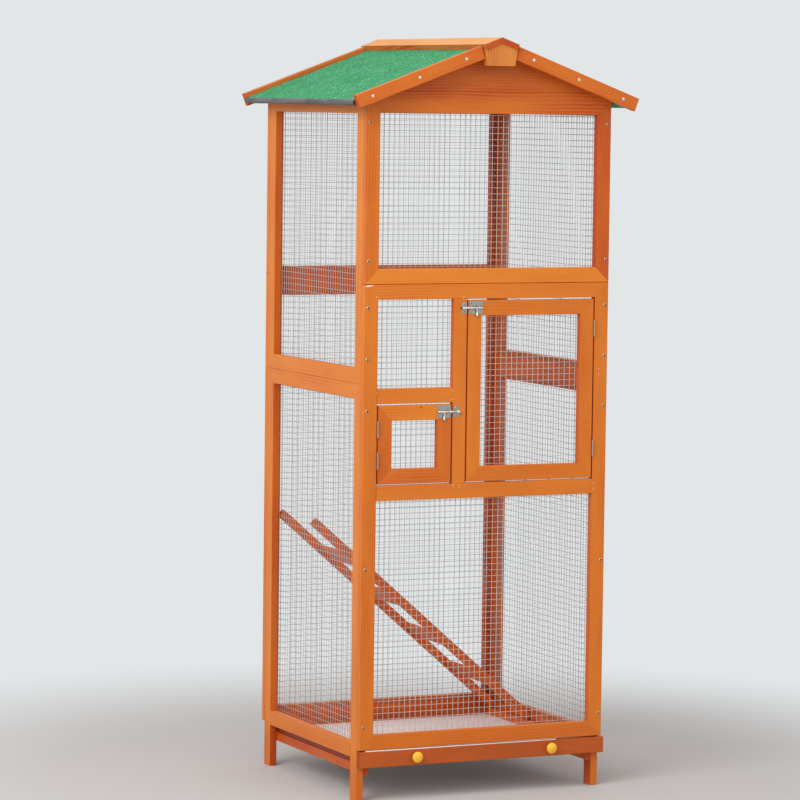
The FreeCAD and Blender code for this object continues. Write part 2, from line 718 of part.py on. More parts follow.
def roof_felt(sign):
    """A felt sheet on the board, turned down over its lower end."""
    across = EAVE_X
    start_z = below(across, BOARD_APEX)
    outer_x = f"({across} + felt_thickness * (cos(roof_slope_angle) + sin(roof_slope_angle)))"
    outer_z = f"({start_z} + felt_thickness * (cos(roof_slope_angle) - sin(roof_slope_angle)))"
    wrap = "(felt_thickness + roof_board_thickness)"
    return plate(f"roof_felt_{'right' if sign > 0 else 'left'}", "front", [
        ("0", FELT_APEX), (signed(sign, outer_x), outer_z),
        (signed(sign, f"{outer_x} - {wrap} * sin(roof_slope_angle)"), f"{outer_z} - {wrap} * cos(roof_slope_angle)"),
        (signed(sign, f"{across} - roof_board_thickness * sin(roof_slope_angle)"),
         f"{start_z} - roof_board_thickness * cos(roof_slope_angle)"),
        (signed(sign, across), start_z), ("0", BOARD_APEX),
    ], minus(BARGE_BACK), BARGE_BACK)


def barge_board(name, sign, low, high):
    """A narrow board along the sloping end of the roof, with square-cut ends."""
    top_x = "barge_top_x"
    end_x = ROOF_HALF_SPAN
    drop_x = "barge_height * sin(roof_slope_angle)"
    drop_z = "barge_height * cos(roof_slope_angle)"
    return plate(name, "front", [
        (signed(sign, top_x), below(top_x, BARGE_APEX)),
        (signed(sign, end_x), below(end_x, BARGE_APEX)),
        (signed(sign, f"{end_x} - {drop_x}"), f"{below(end_x, BARGE_APEX)} - {drop_z}"),
        (signed(sign, f"{top_x} - {drop_x}"), f"{below(top_x, BARGE_APEX)} - {drop_z}"),
    ], low, high, slope_direction(sign))


def slope_direction(sign):
    angle = math.radians(size("roof_slope_angle"))
    return FreeCAD.Vector(sign * math.cos(angle), 0, -math.sin(angle))


def cap_board(sign):
    """One of the two boards of the ridge cap, mitred along the ridge."""
    end_x = "cap_half_width"
    return plate(f"ridge_cap_{'right' if sign > 0 else 'left'}", "front", [
        ("0", CAP_APEX), (signed(sign, end_x), below(end_x, CAP_APEX)),
        (signed(sign, f"{end_x} - cap_thickness * sin(roof_slope_angle)"),
         f"{below(end_x, CAP_APEX)} - cap_thickness * cos(roof_slope_angle)"),
        ("0", FELT_APEX),
    ], f"-({ROOF_END} + cap_overhang)", f"{ROOF_END} + cap_overhang")


def end_block(name, low, high):
    """The tapered block that closes the ridge under the end of the cap."""
    top_x = "block_top_half_width"
    bottom = f"({FELT_APEX} - block_height)"
    return plate(name, "front", [
        ("0", FELT_APEX), (top_x, below(top_x, FELT_APEX)), ("block_bottom_half_width", bottom),
        ("-block_bottom_half_width", bottom), (minus(top_x), below(top_x, FELT_APEX)),
    ], low, high, ALONG_Y)


keep("roof_boards", [roof_board(-1), roof_board(1)])
keep("roof_felt", [roof_felt(-1), roof_felt(1)])
keep("front_barge_boards", [
    barge_board("front_left_barge", -1, minus(ROOF_END), minus(BARGE_BACK)),
    barge_board("front_right_barge", 1, minus(ROOF_END), minus(BARGE_BACK)),
])
keep("rear_barge_boards", [
    barge_board("rear_left_barge", -1, BARGE_BACK, ROOF_END),
    barge_board("rear_right_barge", 1, BARGE_BACK, ROOF_END),
])
keep("ridge_cap_boards", [cap_board(-1), cap_board(1)])
keep("ridge_end_blocks", [
    end_block("front_end_block", f"-{BARGE_BACK} - block_depth", minus(BARGE_BACK)),
    end_block("rear_end_block", BARGE_BACK, f"{BARGE_BACK} + block_depth"),
])

# Runners on the inner faces of the legs, and the drawer that slides on them. Heights go down from
# the lower edge of the front panel. The drawer's front board reaches a little below the rest of it.
FRONT_BOARD_TOP = "(front_bottom - drawer_top_gap)"
FRONT_BOARD_BOTTOM = f"({FRONT_BOARD_TOP} - drawer_front_height)"
DRAWER_BOTTOM = f"({FRONT_BOARD_BOTTOM} + drawer_front_drop)"
RUNNER_TOP = f"({DRAWER_BOTTOM} - drawer_rise)"
RUNNER_BOTTOM = f"({RUNNER_TOP} - runner_height)"
DRAWER_SIDE = f"({SIDE_INNER} - drawer_side_gap)"
DRAWER_INSIDE = f"({DRAWER_SIDE} - drawer_board_thickness)"
DRAWER_TOP = f"({DRAWER_BOTTOM} + drawer_board_height)"
DRAWER_REAR = f"({BACK_FRONT} - drawer_back_gap)"
FLOOR_BOTTOM = f"({DRAWER_BOTTOM} + drawer_floor_rise)"
FLOOR_TOP = f"({FLOOR_BOTTOM} + drawer_floor_thickness)"


def lengthwise(name, low_x, high_x, low_y, high_y, low_z, high_z):
    """A bar that runs from the front to the back."""
    return plate(name, "side", [(low_y, low_z), (high_y, low_z), (high_y, high_z), (low_y, high_z)],
                 low_x, high_x, ALONG_Y)


runner_inner = f"({SIDE_INNER} - runner_thickness)"
keep("drawer_runners", [
    lengthwise("left_runner", minus(SIDE_INNER), minus(runner_inner), FRONT_BACK, BACK_FRONT,
               RUNNER_BOTTOM, RUNNER_TOP),
    lengthwise("right_runner", runner_inner, SIDE_INNER, FRONT_BACK, BACK_FRONT,
               RUNNER_BOTTOM, RUNNER_TOP),
])
keep("drawer_front", [
    rail("drawer_front_board", f"-({HALF_WIDTH} + drawer_front_proud) + drawer_front_shift",
         f"{HALF_WIDTH} + drawer_front_proud + drawer_front_shift", FRONT_BOARD_BOTTOM,
         FRONT_BOARD_TOP, FRONT_FACE, FRONT_BACK, "0"),
])
keep("drawer_frame", [
    lengthwise("drawer_left_board", minus(DRAWER_SIDE), minus(DRAWER_INSIDE), FRONT_BACK, DRAWER_REAR,
               DRAWER_BOTTOM, DRAWER_TOP),
    lengthwise("drawer_right_board", DRAWER_INSIDE, DRAWER_SIDE, FRONT_BACK, DRAWER_REAR,
               DRAWER_BOTTOM, DRAWER_TOP),
    rail("drawer_rear_board", minus(DRAWER_INSIDE), DRAWER_INSIDE, DRAWER_BOTTOM, DRAWER_TOP,
         f"{DRAWER_REAR} - drawer_board_thickness", DRAWER_REAR, "0"),
])
keep("drawer_floor", [
    box("drawer_floor_panel", (minus(DRAWER_INSIDE), FRONT_BACK, FLOOR_BOTTOM),
        (DRAWER_INSIDE, f"{DRAWER_REAR} - drawer_board_thickness", FLOOR_TOP)),
])


def drawer_knob(name, sign):
    """A round turned knob: a flattened ball on a short neck."""
    knob_x = f"drawer_front_shift + ({sign}) * knob_offset"
    knob_z = f"{FRONT_BOARD_BOTTOM} + knob_rise"
    neck_start = f"{FRONT_FACE} - knob_neck_length"
    neck = rod(name + "_neck", "y", (knob_x, neck_start, knob_z), "knob_neck_radius", "knob_neck_length")
    head = doc.addObject("Part::Ellipsoid", name + "_head")
    head.Placement = FreeCAD.Placement(FreeCAD.Vector(), TURNS["y"])
    bind(head, "Placement.Base.x", knob_x)
    bind(head, "Placement.Base.y", neck_start)
    bind(head, "Placement.Base.z", knob_z)
    bind(head, "Radius1", "knob_half_depth")
    bind(head, "Radius2", "knob_radius")
    bind(head, "Radius3", "knob_radius")
    return joined(name + "_solid", [neck, head])


keep("drawer_knobs", [drawer_knob("left_knob", -1), drawer_knob("right_knob", 1)])

# Ladder. It leans from the foot of the right side up to the net of the left side. Places on it
# are given along the upper edge of its rails, from the foot, and square to that edge.
NET_FACE = f"({SIDE_INNER} - wire_size)"
LADDER_FOOT = f"({DRAWER_TOP} + ladder_drawer_gap + ladder_rail_height * cos(ladder_slope_angle))"
LADDER_END_X = f"(-{NET_FACE} + ladder_rail_height * sin(ladder_slope_angle))"
LADDER_LENGTH = f"(({SIDE_INNER} - {LADDER_END_X}) / cos(ladder_slope_angle))"


def on_ladder(along, under):
    """X and Z of a point on the ladder, seen from the front."""
    return (
        f"({SIDE_INNER} - ({along}) * cos(ladder_slope_angle) - ({under}) * sin(ladder_slope_angle))",
        f"({LADDER_FOOT} + ({along}) * sin(ladder_slope_angle) - ({under}) * cos(ladder_slope_angle))",
    )


def ladder_bar(name, start, end, top, bottom, low, high, rounded=None):
    return plate(name, "front", [
        on_ladder(start, top), on_ladder(end, top), on_ladder(end, bottom), on_ladder(start, bottom),
    ], low, high, rounded)


ladder_angle = math.radians(size("ladder_slope_angle"))
along_ladder = FreeCAD.Vector(-math.cos(ladder_angle), 0, math.sin(ladder_angle))
LADDER_REAR = "(ladder_front + ladder_width)"
keep("ladder_rails", [
    ladder_bar("ladder_front_rail", "0", LADDER_LENGTH, "0", "ladder_rail_height",
               "ladder_front", "ladder_front + ladder_rail_thickness", along_ladder),
    ladder_bar("ladder_rear_rail", "0", LADDER_LENGTH, "0", "ladder_rail_height",
               f"{LADDER_REAR} - ladder_rail_thickness", LADDER_REAR, along_ladder),
])
side_inner = size("frame_width") / 2 - size("side_thickness")
ladder_reach = 2 * side_inner - size("wire_size") - size("ladder_rail_height") * math.sin(ladder_angle)
ladder_length = ladder_reach / math.cos(ladder_angle)
slat_count = math.floor((ladder_length - size("slat_start") - size("slat_width")) / size("slat_pitch")) + 1
slat_top = "((ladder_rail_height - slat_thickness) / 2)"
slats = []
for number in range(slat_count):
    start = f"(slat_start + {number} * slat_pitch)"
    slats.append(ladder_bar(f"ladder_slat_{number + 1}", start, f"{start} + slat_width",
                            slat_top, f"{slat_top} + slat_thickness",
                            "ladder_front + ladder_rail_thickness", f"{LADDER_REAR} - ladder_rail_thickness"))
keep("ladder_slats", slats)


# Screws and nails
def screw(name, along, head, sign, length="screw_length"):
    """A wood screw whose domed head sits on a face; sign tells which way the head points."""
    shank_start = list(head)
    axis = "xyz".index(along)
    cone = doc.addObject("Part::Cone", name + "_head")
    turned = TURNS[along] if sign > 0 else TURNS[along].multiply(FreeCAD.Rotation(ALONG_X, 180))
    cone.Placement = FreeCAD.Placement(FreeCAD.Vector(), turned)
    for letter, formula in zip("xyz", head):
        bind(cone, f"Placement.Base.{letter}", formula)
    bind(cone, "Radius1", "screw_head_radius")
    bind(cone, "Radius2", "screw_tip_radius")
    bind(cone, "Height", "screw_head_height")
    if sign > 0:
        shank_start[axis] = f"({head[axis]} - {length})"
    shank = rod(name + "_shank", along, shank_start, "screw_shank_radius", length)
    return joined(name, [cone, shank])


SCREW_X = "(frame_width / 2 - side_thickness / 2)"
# Places of the screws up a front stile, as shares of the panel's height above its foot
LOWER_SCREW_SHARES = (0.05, 0.39, 0.73, 0.84, 0.95)
UPPER_SCREW_SHARES = (0.137, 0.945)
screws = []
for side, sign in (("left", -1), ("right", 1)):
    for face, face_y, out, bottom, split in (
            ("front", FRONT_FACE, -1, "front_bottom", FRONT_SPLIT),
            ("back", BACK_FACE, 1, "back_bottom", "back_split")):
        heights = [f"{bottom} + ({split} - {bottom}) * {share}" for share in LOWER_SCREW_SHARES]
        heights += [f"{split} + ({GABLE_BOTTOM} - {split}) * {share}" for share in UPPER_SCREW_SHARES]
        for number, height in enumerate(heights, start=1):
            screws.append(screw(f"{face}_{side}_screw_{number}", "y",
                                (signed(sign, SCREW_X), face_y, height), out))
for side, sign in (("left", -1), ("right", 1)):
    for end, inward, leg_edge in (("front", 1, FRONT_BACK), ("rear", -1, BACK_FRONT)):
        screws.append(screw(f"{side}_{end}_runner_screw", "x",
                            (signed(sign, HALF_WIDTH), f"{leg_edge} + ({inward}) * runner_screw_inset",
                             f"{RUNNER_BOTTOM} + runner_screw_rise"), sign, "runner_screw_length"))
keep("frame_screws", screws)

# Places of the nails down a barge board, as shares of half the roof's span
NAIL_SHARES = (0.238, 0.562, 0.884)
nails = []
for end, out in (("front", -1), ("rear", 1)):
    for side, sign in (("left", -1), ("right", 1)):
        for number, share in enumerate(NAIL_SHARES, start=1):
            nail_x = f"({ROOF_HALF_SPAN} * {share})"
            nail_z = f"{below(nail_x, BARGE_APEX)} - barge_height / 2 / cos(roof_slope_angle)"
            face_y = f"({out}) * {ROOF_END}"
            name = f"{end}_{side}_nail_{number}"
            head_start = f"{face_y} - nail_head_height" if out < 0 else face_y
            shank_start = face_y if out < 0 else f"{face_y} - nail_length"
            nails.append(joined(name, [
                rod(name + "_head", "y", (signed(sign, nail_x), head_start, nail_z),
                    "nail_head_radius", "nail_head_height"),
                rod(name + "_shank", "y", (signed(sign, nail_x), shank_start, nail_z),
                    "nail_shank_radius", "nail_length"),
            ]))
keep("barge_nails", nails)

doc.recompute()

for thing in doc.Objects:
    if "Invalid" in thing.State or "Error" in thing.State:
        raise RuntimeError(f"{thing.Name} failed: {thing.State}")
for node in subparts:
    shape = node.Shape
    if shape.isNull() or not shape.isValid() or not shape.Solids:
        raise RuntimeError(f"{node.Label} has no valid solid")
for node in subparts:
    node.Shape.exportStep(f"parts/{node.Label}.step")

bounds = FreeCAD.BoundBox()
for node in subparts:
    bounds.add(node.Shape.BoundBox)
print(len(subparts), "sub-parts,", sum(len(node.Shape.Solids) for node in subparts), "solids")
print("size", round(bounds.XLength, 2), round(bounds.YLength, 2), round(bounds.ZLength, 2),
      "from", round(bounds.XMin, 2), round(bounds.YMin, 2), round(bounds.ZMin, 2))
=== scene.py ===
# %% [markdown]
# # A tall wooden bird cage
#
# The cage is 1.65 m high: softwood frames stained a warm orange, welded wire nets behind them, a
# green felted roof, zinc bolts and hinges, and a drawer with two yellow knobs under the floor.
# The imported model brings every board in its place. This lesson gives the boards their grain and
# stain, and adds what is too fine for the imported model: the real wires of the nets, the staples,
# the cross-recessed screws, the granules of the felt and the turned knobs.
#
# The frame has its origin on the floor under the middle of the cage, +Z up, in metres.

# %% Load the frame
import json
import math
import random

import bmesh
import bpy
from mathutils import Matrix, Vector


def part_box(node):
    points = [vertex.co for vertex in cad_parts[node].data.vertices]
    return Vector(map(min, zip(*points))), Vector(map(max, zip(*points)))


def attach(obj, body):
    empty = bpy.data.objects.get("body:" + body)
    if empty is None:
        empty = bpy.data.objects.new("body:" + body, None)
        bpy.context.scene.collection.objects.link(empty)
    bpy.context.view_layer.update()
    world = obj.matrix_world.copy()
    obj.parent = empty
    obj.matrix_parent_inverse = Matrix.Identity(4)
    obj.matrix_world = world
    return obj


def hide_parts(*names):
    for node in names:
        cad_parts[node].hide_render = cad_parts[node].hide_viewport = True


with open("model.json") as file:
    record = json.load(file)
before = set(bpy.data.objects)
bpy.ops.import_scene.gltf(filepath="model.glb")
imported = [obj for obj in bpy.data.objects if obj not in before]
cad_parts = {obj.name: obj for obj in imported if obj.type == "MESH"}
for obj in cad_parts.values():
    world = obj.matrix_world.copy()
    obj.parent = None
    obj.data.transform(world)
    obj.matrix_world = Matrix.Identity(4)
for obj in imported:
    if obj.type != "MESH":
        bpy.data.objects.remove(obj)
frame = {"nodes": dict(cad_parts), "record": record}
nodes = frame["nodes"]
groups = frame["record"]["behaviour"]["bodies"]
body_of_node = {node: body for body, members in groups.items() for node in members}
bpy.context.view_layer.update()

# %% [markdown]
# ## The camera
#
# The photograph was taken from the left of the cage, a little above the height of its doors, with
# a long lens from about eight and a half metres away. The three axes of the camera are worked out
# from its bearing, its tilt and a small roll, and written straight into its matrix.

# %% Camera
CAMERA_PLACE = Vector((-3.65835, -7.71138, 1.53326))
CAMERA_BEARING = math.radians(24.8813)
CAMERA_TILT = math.radians(4.6147)
CAMERA_ROLL = math.radians(0.7224)
CAMERA_LENS = 172.39

forward = Vector((math.sin(CAMERA_BEARING) * math.cos(CAMERA_TILT),
                  math.cos(CAMERA_BEARING) * math.cos(CAMERA_TILT),
                  -math.sin(CAMERA_TILT)))
level = Vector((math.cos(CAMERA_BEARING), -math.sin(CAMERA_BEARING), 0))
upward = level.cross(forward)
camera_right = level * math.cos(CAMERA_ROLL) + upward * math.sin(CAMERA_ROLL)
camera_up = upward * math.cos(CAMERA_ROLL) - level * math.sin(CAMERA_ROLL)

camera = bpy.data.objects.new("camera", bpy.data.cameras.new("camera"))
bpy.context.scene.collection.objects.link(camera)
camera.data.lens = CAMERA_LENS
camera.data.sensor_width = 36
camera.data.clip_end = 100
turn = Matrix((camera_right, camera_up, -forward)).transposed()
camera.matrix_world = Matrix.Translation(CAMERA_PLACE) @ turn.to_4x4()
bpy.context.scene.camera = camera
bpy.context.scene.view_settings.view_transform = "Standard"
print("camera at", tuple(CAMERA_PLACE), "lens", CAMERA_LENS)

# %% [markdown]
# ## Writing materials as sums
#
# A finish such as stained wood is a formula: rings plus fibres plus blotches. Laying it out with
# dozens of Math nodes by hand is hard to read, so a small class wraps a socket and turns Python's
# own signs into Math nodes. Colours never go through them. A second class holds one material, and
# its `add` makes any other node, named without the ShaderNode that all their types start with.


# %% Values
def sign(operation, flipped=False):
    """One of Python's signs, as a method that adds a Math node."""
    def apply(self, *others):
        terms = (*others, self) if flipped else (self, *others)
        return self.finish.math(operation, *terms)

    return apply


class Value:
    """A number that varies over a surface, with Python's arithmetic on it."""

    def __init__(self, finish, socket):
        self.finish = finish
        self.socket = socket

    __add__ = __radd__ = sign("ADD")
    __mul__ = __rmul__ = sign("MULTIPLY")
    __sub__, __rsub__ = sign("SUBTRACT"), sign("SUBTRACT", flipped=True)
    __truediv__, __rtruediv__ = sign("DIVIDE"), sign("DIVIDE", flipped=True)
    __pow__, __abs__ = sign("POWER"), sign("ABSOLUTE")
    larger, fraction = sign("MAXIMUM"), sign("FRACT")

    def __neg__(self):
        return self * -1

    def clamped(self):
        return self.finish.math("MULTIPLY", self, 1, clamp=True)

    def step(self, low, high):
        """0 below low, 1 above high, and a smooth rise between them."""
        node = self.finish.add("MapRange", {"Value": self, "From Min": low, "From Max": high},
                               interpolation_type="SMOOTHSTEP")
        return Value(self.finish, node.outputs[0])


# %% Finishes
def opaque(colour):
    """A colour's socket as it is, or its three numbers with full alpha."""
    return colour if isinstance(colour, bpy.types.NodeSocket) else (*colour, 1)


class Finish:
    """One material, or the world, built up node by node."""

    def __init__(self, name, library="materials"):
        self.block = getattr(bpy.data, library).new(name)
        self.block.use_nodes = True
        self.tree = self.block.node_tree
        self.tree.nodes.clear()

    def add(self, kind, inputs=None, **settings):
        """Add a node of a kind: its settings first, then what its sockets get."""
        node = self.tree.nodes.new("ShaderNode" + kind)
        for key, setting in settings.items():
            setattr(node, key, setting)
        for key, content in (inputs or {}).items():
            source = content.socket if isinstance(content, Value) else content
            if isinstance(source, bpy.types.NodeSocket):
                self.tree.links.new(source, node.inputs[key])
            else:
                node.inputs[key].default_value = source
        return node

    def math(self, operation, *terms, clamp=False):
        node = self.add("Math", dict(enumerate(terms)), operation=operation, use_clamp=clamp)
        return Value(self, node.outputs[0])

    def read(self, output):
        """X, Y and Z of one output of a Texture Coordinate node."""
        source = self.add("TexCoord").outputs[output]
        axes = self.add("SeparateXYZ", {0: source}).outputs
        return [Value(self, axes[number]) for number in range(3)]

    def place(self):
        """Where the surface is, in the object's own frame."""
        return self.read("Object")

    def facing(self):
        """Which way the surface faces, in the object's own frame."""
        return self.read("Normal")

    def point(self, x, y, z):
        return self.add("CombineXYZ", {0: x, 1: y, 2: z}).outputs[0]

    def noise(self, x, y, z, detail=2.0, roughness=0.5, scale=1.0):
        """Smooth noise between 0 and 1, mostly near a half."""
        node = self.add("TexNoise", {"Vector": self.point(x, y, z), "Scale": scale, "Detail": detail,
                                     "Roughness": roughness})
        return Value(self, node.outputs[0])

    def mix(self, share, first, second):
        """A colour between two colours, whose sockets on a Mix node are number 6 and 7."""
        node = self.add("Mix", {0: share, 6: opaque(first), 7: opaque(second)}, data_type="RGBA")
        return node.outputs[2]

    def surface(self, colour, roughness, height=None, depth=None, **fixed):
        """The shader at the end. Height goes through a Bump node, whose full lift is depth."""
        inputs = {"Base Color": opaque(colour), "Roughness": roughness}
        if height is not None:
            bump = self.add("Bump", {"Height": height, "Distance": depth, "Strength": 1.0})
            inputs["Normal"] = bump.outputs[0]
        inputs.update({key.replace("_", " "): number for key, number in fixed.items()})
        shader = self.add("BsdfPrincipled", inputs)
        self.add("OutputMaterial", {0: shader.outputs[0]})
        return self.block


print("values and finishes ready")

# %% [markdown]
# ## Stained pine
#
# The frames are planed pine under an orange, slightly glossy stain. Pine shows three things at
# once: yearly rings that leave long darker bands, fine fibres along the board, and slow changes of
# tone from board to board. All three are stretched along the grain, so the material needs to know
# which way a board runs. One function therefore takes a rule that turns X, Y, Z into "along,
# across, through", and makes one material for each direction.

# %% Grain directions
ROOF_SLOPE = math.radians(20.3)
LADDER_SLOPE = math.radians(40.9)


def upright(x, y, z):
    return z, x, y


def crosswise(x, y, z):
    return x, z, y


def lengthwise(x, y, z):
    return y, z, x


def down_the_roof(x, y, z):
    """Down the slope, up from it, and back. The ridge is at z = 0."""
    reach = abs(x)
    return (reach * math.cos(ROOF_SLOPE) - z * math.sin(ROOF_SLOPE),
            reach * math.sin(ROOF_SLOPE) + z * math.cos(ROOF_SLOPE), y)


def up_the_ladder(x, y, z):
    return (z * math.sin(LADDER_SLOPE) - x * math.cos(LADDER_SLOPE),
            z * math.cos(LADDER_SLOPE) + x * math.sin(LADDER_SLOPE), y)


drawer_low, drawer_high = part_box("drawer_frame")
DRAWER_BOARD = 0.012
DRAWER_REAR_Y = drawer_high.y - DRAWER_BOARD
DRAWER_INSIDE_X = drawer_high.x - DRAWER_BOARD
SHARP = 0.0001


def around_the_drawer(x, y, z):
    """The two long side boards run back, the rear board between them runs across."""
    rear = (y - DRAWER_REAR_Y).step(-SHARP, SHARP) * (DRAWER_INSIDE_X - abs(x)).step(-SHARP, SHARP)
    return x * rear + y * (1 - rear), z, y * rear + x * (1 - rear)


print("the drawer's rear board starts at y =", round(DRAWER_REAR_Y, 4))

# %% Gaps beside the doors, for painted shade
OUTER_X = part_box("right_legs")[1].x
PANEL_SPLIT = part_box("front_upper_rail")[0].z
mullion_low, mullion_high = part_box("front_mullion")
main_low, main_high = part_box("main_door_stiles")
small_low, small_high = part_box("small_door_stiles")
ROW_BOTTOM = mullion_low.z
PANEL_Y = -mullion_high.y
HALF_GAP = 0.00125
# Middle of each upright gap beside a door, and the height where it ends
DOOR_GAPS = [((mullion_high.x + main_low.x) / 2, mullion_high.z), (main_high.x + HALF_GAP, mullion_high.z),
             ((mullion_low.x + small_high.x) / 2, small_high.z), (small_low.x - HALF_GAP, small_high.z)]
# Off the middle of a line, where the dark begins to fade and where it has gone
SPLIT_FADE = (0.0004, 0.0014)
GAP_FADE = (0.0012, 0.0021)
SKIN = 0.001


def painted_gap_shade_and_split_line(x, y, z):
    """1 in the narrow gaps beside the doors, where it paints shade, and along the split of the front and back
    panels, a dark joint line.
    """
    dark = (1 - abs(z - PANEL_SPLIT).step(*SPLIT_FADE)) * abs(y).step(PANEL_Y - SKIN, PANEL_Y)
    in_front = (-y).step(PANEL_Y - SKIN, PANEL_Y) * z.step(ROW_BOTTOM - SKIN, ROW_BOTTOM)
    for gap_x, top in DOOR_GAPS:
        line = 1 - abs(x - gap_x).step(*GAP_FADE)
        dark = dark.larger(line * in_front * (1 - z.step(top, top + SKIN)))
    return dark


print("gaps beside the doors at x =", [round(gap_x, 4) for gap_x, top in DOOR_GAPS])

# %% Pine
RING_SPACING = 0.0045
KNOT_BROWN = (0.20, 0.075, 0.025)


def pine(name, direction, stain, depth_of_stain_and_shade, grain=1.0, inner=0.0, knot=None):
    """Stained pine whose grain runs in one direction.

    stain is a light and a dark colour. The depth of the stain lies between them, as a number or as a rule
    on X, Y and Z; on the drawer frame and the ridge cap it also carries painted shade and sheen. grain is
    how strongly the rings show. inner is painted shade: how much darker the faces that look into the cage
    are, and with it the door gaps get painted shade and the split of the panels a dark line. knot is
    (along, across, radius, reach) on the board's face, where reach is how far off the rings still bend round
    it.
    """
    finish = Finish("pine_" + name)
    light, dark = stain
    x, y, z = finish.place()
    along, across, through = direction(x, y, z)

    def streaks(lengthways, sideways, **options):
        return finish.noise(along * lengthways, across * sideways, through * sideways, **options)

    wander = streaks(1.3, 5)
    waver = streaks(9, 30, detail=1)
    rings = (across * 0.75 + through * 0.45 + wander * 0.05 + waver * 0.0025) / RING_SPACING
    if knot:
        knot_along, knot_across, radius, reach = knot
        bend = (((along - knot_along) * 0.4) ** 2 + (across - knot_across) ** 2) ** 0.5
        rings = rings + (1 - bend.step(0, reach)) * 4.2
    phase = rings.fraction()
    late = phase.step(0.15, 0.86) * (1 - phase.step(0.88, 1.0))
    fibre = streaks(26, 900, detail=3, roughness=0.6)
    pores = streaks(60, 2600, detail=1)
    blotch = streaks(5, 24)
    board = streaks(0.6, 5.3, detail=0)
    strength = (blotch - 0.32).step(0, 0.42)
    darkness = late * 0.30 * grain * strength + (fibre - 0.5) * 0.34
    darkness = darkness + ((board - 0.5) * 0.30 + (blotch - 0.5) * 0.24) * grain
    end_grain = abs(direction(*finish.facing())[0]).step(0.8, 0.95)
    darkness = darkness + end_grain * 0.50
    # The depth is the stain's, and on the drawer frame and cap also painted shade and sheen
    depth = depth_of_stain_and_shade if isinstance(depth_of_stain_and_shade, float) else depth_of_stain_and_shade(x, y, z)
    # Painted shade: faces that look into the cage are darker, the door gaps darker still; the panels' split
    # gets a dark line
    if inner:
        face_x, face_y, face_z = finish.facing()
        inwards = abs(face_x) * (OUTER_X - abs(x)).step(0.002, 0.004)
        depth = depth + inwards.larger(face_y * y * -4).step(0.3, 0.9) * inner
        darkness = darkness + painted_gap_shade_and_split_line(x, y, z) * 0.75
    colour = finish.mix((darkness + depth).clamped(), light, dark)
    if knot:
        distance = (((along - knot_along) * 0.8) ** 2 + (across - knot_across) ** 2) ** 0.5
        colour = finish.mix((1 - distance.step(radius * 0.55, radius)) * 0.8, colour, KNOT_BROWN)
    speck = (pores - 0.60).step(0.0, 0.16) * 0.25
    colour = finish.mix(speck, colour, tuple(channel * 0.6 for channel in dark))
    roughness = 0.42 + (fibre - 0.5) * 0.16 + (blotch - 0.5) * 0.08 + end_grain * 0.12
    height = fibre * 0.5 + pores * 0.22 - late * 0.30
    return finish.surface(colour, roughness, height, depth=0.00022, IOR=1.32)


# %% Depths of the stain, with painted shade and sheen on the drawer frame and cap
ORANGE = ((0.80, 0.245, 0.022), (0.50, 0.060, 0.008))
# A paler, yellower orange with painted sheen in its light end, for the cap, the rear barge boards and the end
# blocks
SHEEN_ORANGE = ((0.80, 0.32, 0.058), (0.46, 0.060, 0.007))
RED = ((0.66, 0.125, 0.017), (0.30, 0.036, 0.006))
DRAWER_RED = ((0.56, 0.112, 0.017), (0.26, 0.036, 0.006))
FRAME_RED = ((0.66, 0.145, 0.028), (0.26, 0.036, 0.006))
STILE_X = 0.25
SMALL_MIDDLE = (small_low.z + small_high.z) / 2
LOW_RAILS_FADE = (0.15, 0.16)
LEGS_FADE = (0.06, 0.12)
cap_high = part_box("ridge_cap_boards")[1]
CAP_DOWN = cap_high.x / math.cos(ROOF_SLOPE)


def of_the_stiles(x, y, z):
    """The upper right stile is much darker than its neighbours, the upper left one a little."""
    upper = (z - PANEL_SPLIT).step(-0.0005, 0.0005)
    right = (x - STILE_X).step(-0.001, 0.001)
    return 0.32 + upper * 0.14 + right * 0.06 + upper * right * 0.17


def of_the_rails(x, y, z):
    """The rails at the foot of the front panel are darker than those above."""
    return 0.24 + (1 - z.step(*LOW_RAILS_FADE)) * 0.16


def of_the_small_rails(x, y, z):
    """The small door's top rail is paler than its bottom rail."""
    return 0.42 - z.step(SMALL_MIDDLE, SMALL_MIDDLE + SKIN) * 0.30


def of_the_legs(x, y, z):
    """The legs are darker below the panels."""
    return 0.18 + (1 - z.step(*LEGS_FADE)) * 0.26


def of_the_cap_painted_sheen(x, y, z):
    """The cap is pale on top, a painted sheen, and deeper along its lower edges, painted shade. Its ends are
    deeper too, as end grain is.
    """
    down = down_the_roof(x, y, z - cap_high.z)[0]
    edge = down.step(CAP_DOWN - 0.0006, CAP_DOWN - 0.0002)
    return 0.08 + edge * 0.62 + abs(y).step(cap_high.y - 0.0008, cap_high.y - 0.0002) * 0.42


def of_the_drawer_painted_shade(x, y, z):
    """The drawer's side boards are darker outside than inside, painted shade, as their outer faces lie in the
    shade of the runners and rails.
    """
    return 0.08 + abs(x).step(drawer_high.x - 0.002, drawer_high.x - 0.001) * 0.72


print("stains ready, the cap's slope is", round(CAP_DOWN, 4), "long")

# %% Boards
small_rails_low, small_rails_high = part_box("small_door_rails")
KNOT_SHARE = 0.583
KNOT_BELOW_EDGE = 0.0050
KNOT_RADIUS, KNOT_REACH = 0.0027, 0.028
SMALL_DOOR_KNOT = (small_rails_low.x * (1 - KNOT_SHARE) + small_rails_high.x * KNOT_SHARE,
                   small_rails_high.z - KNOT_BELOW_EDGE, KNOT_RADIUS, KNOT_REACH)
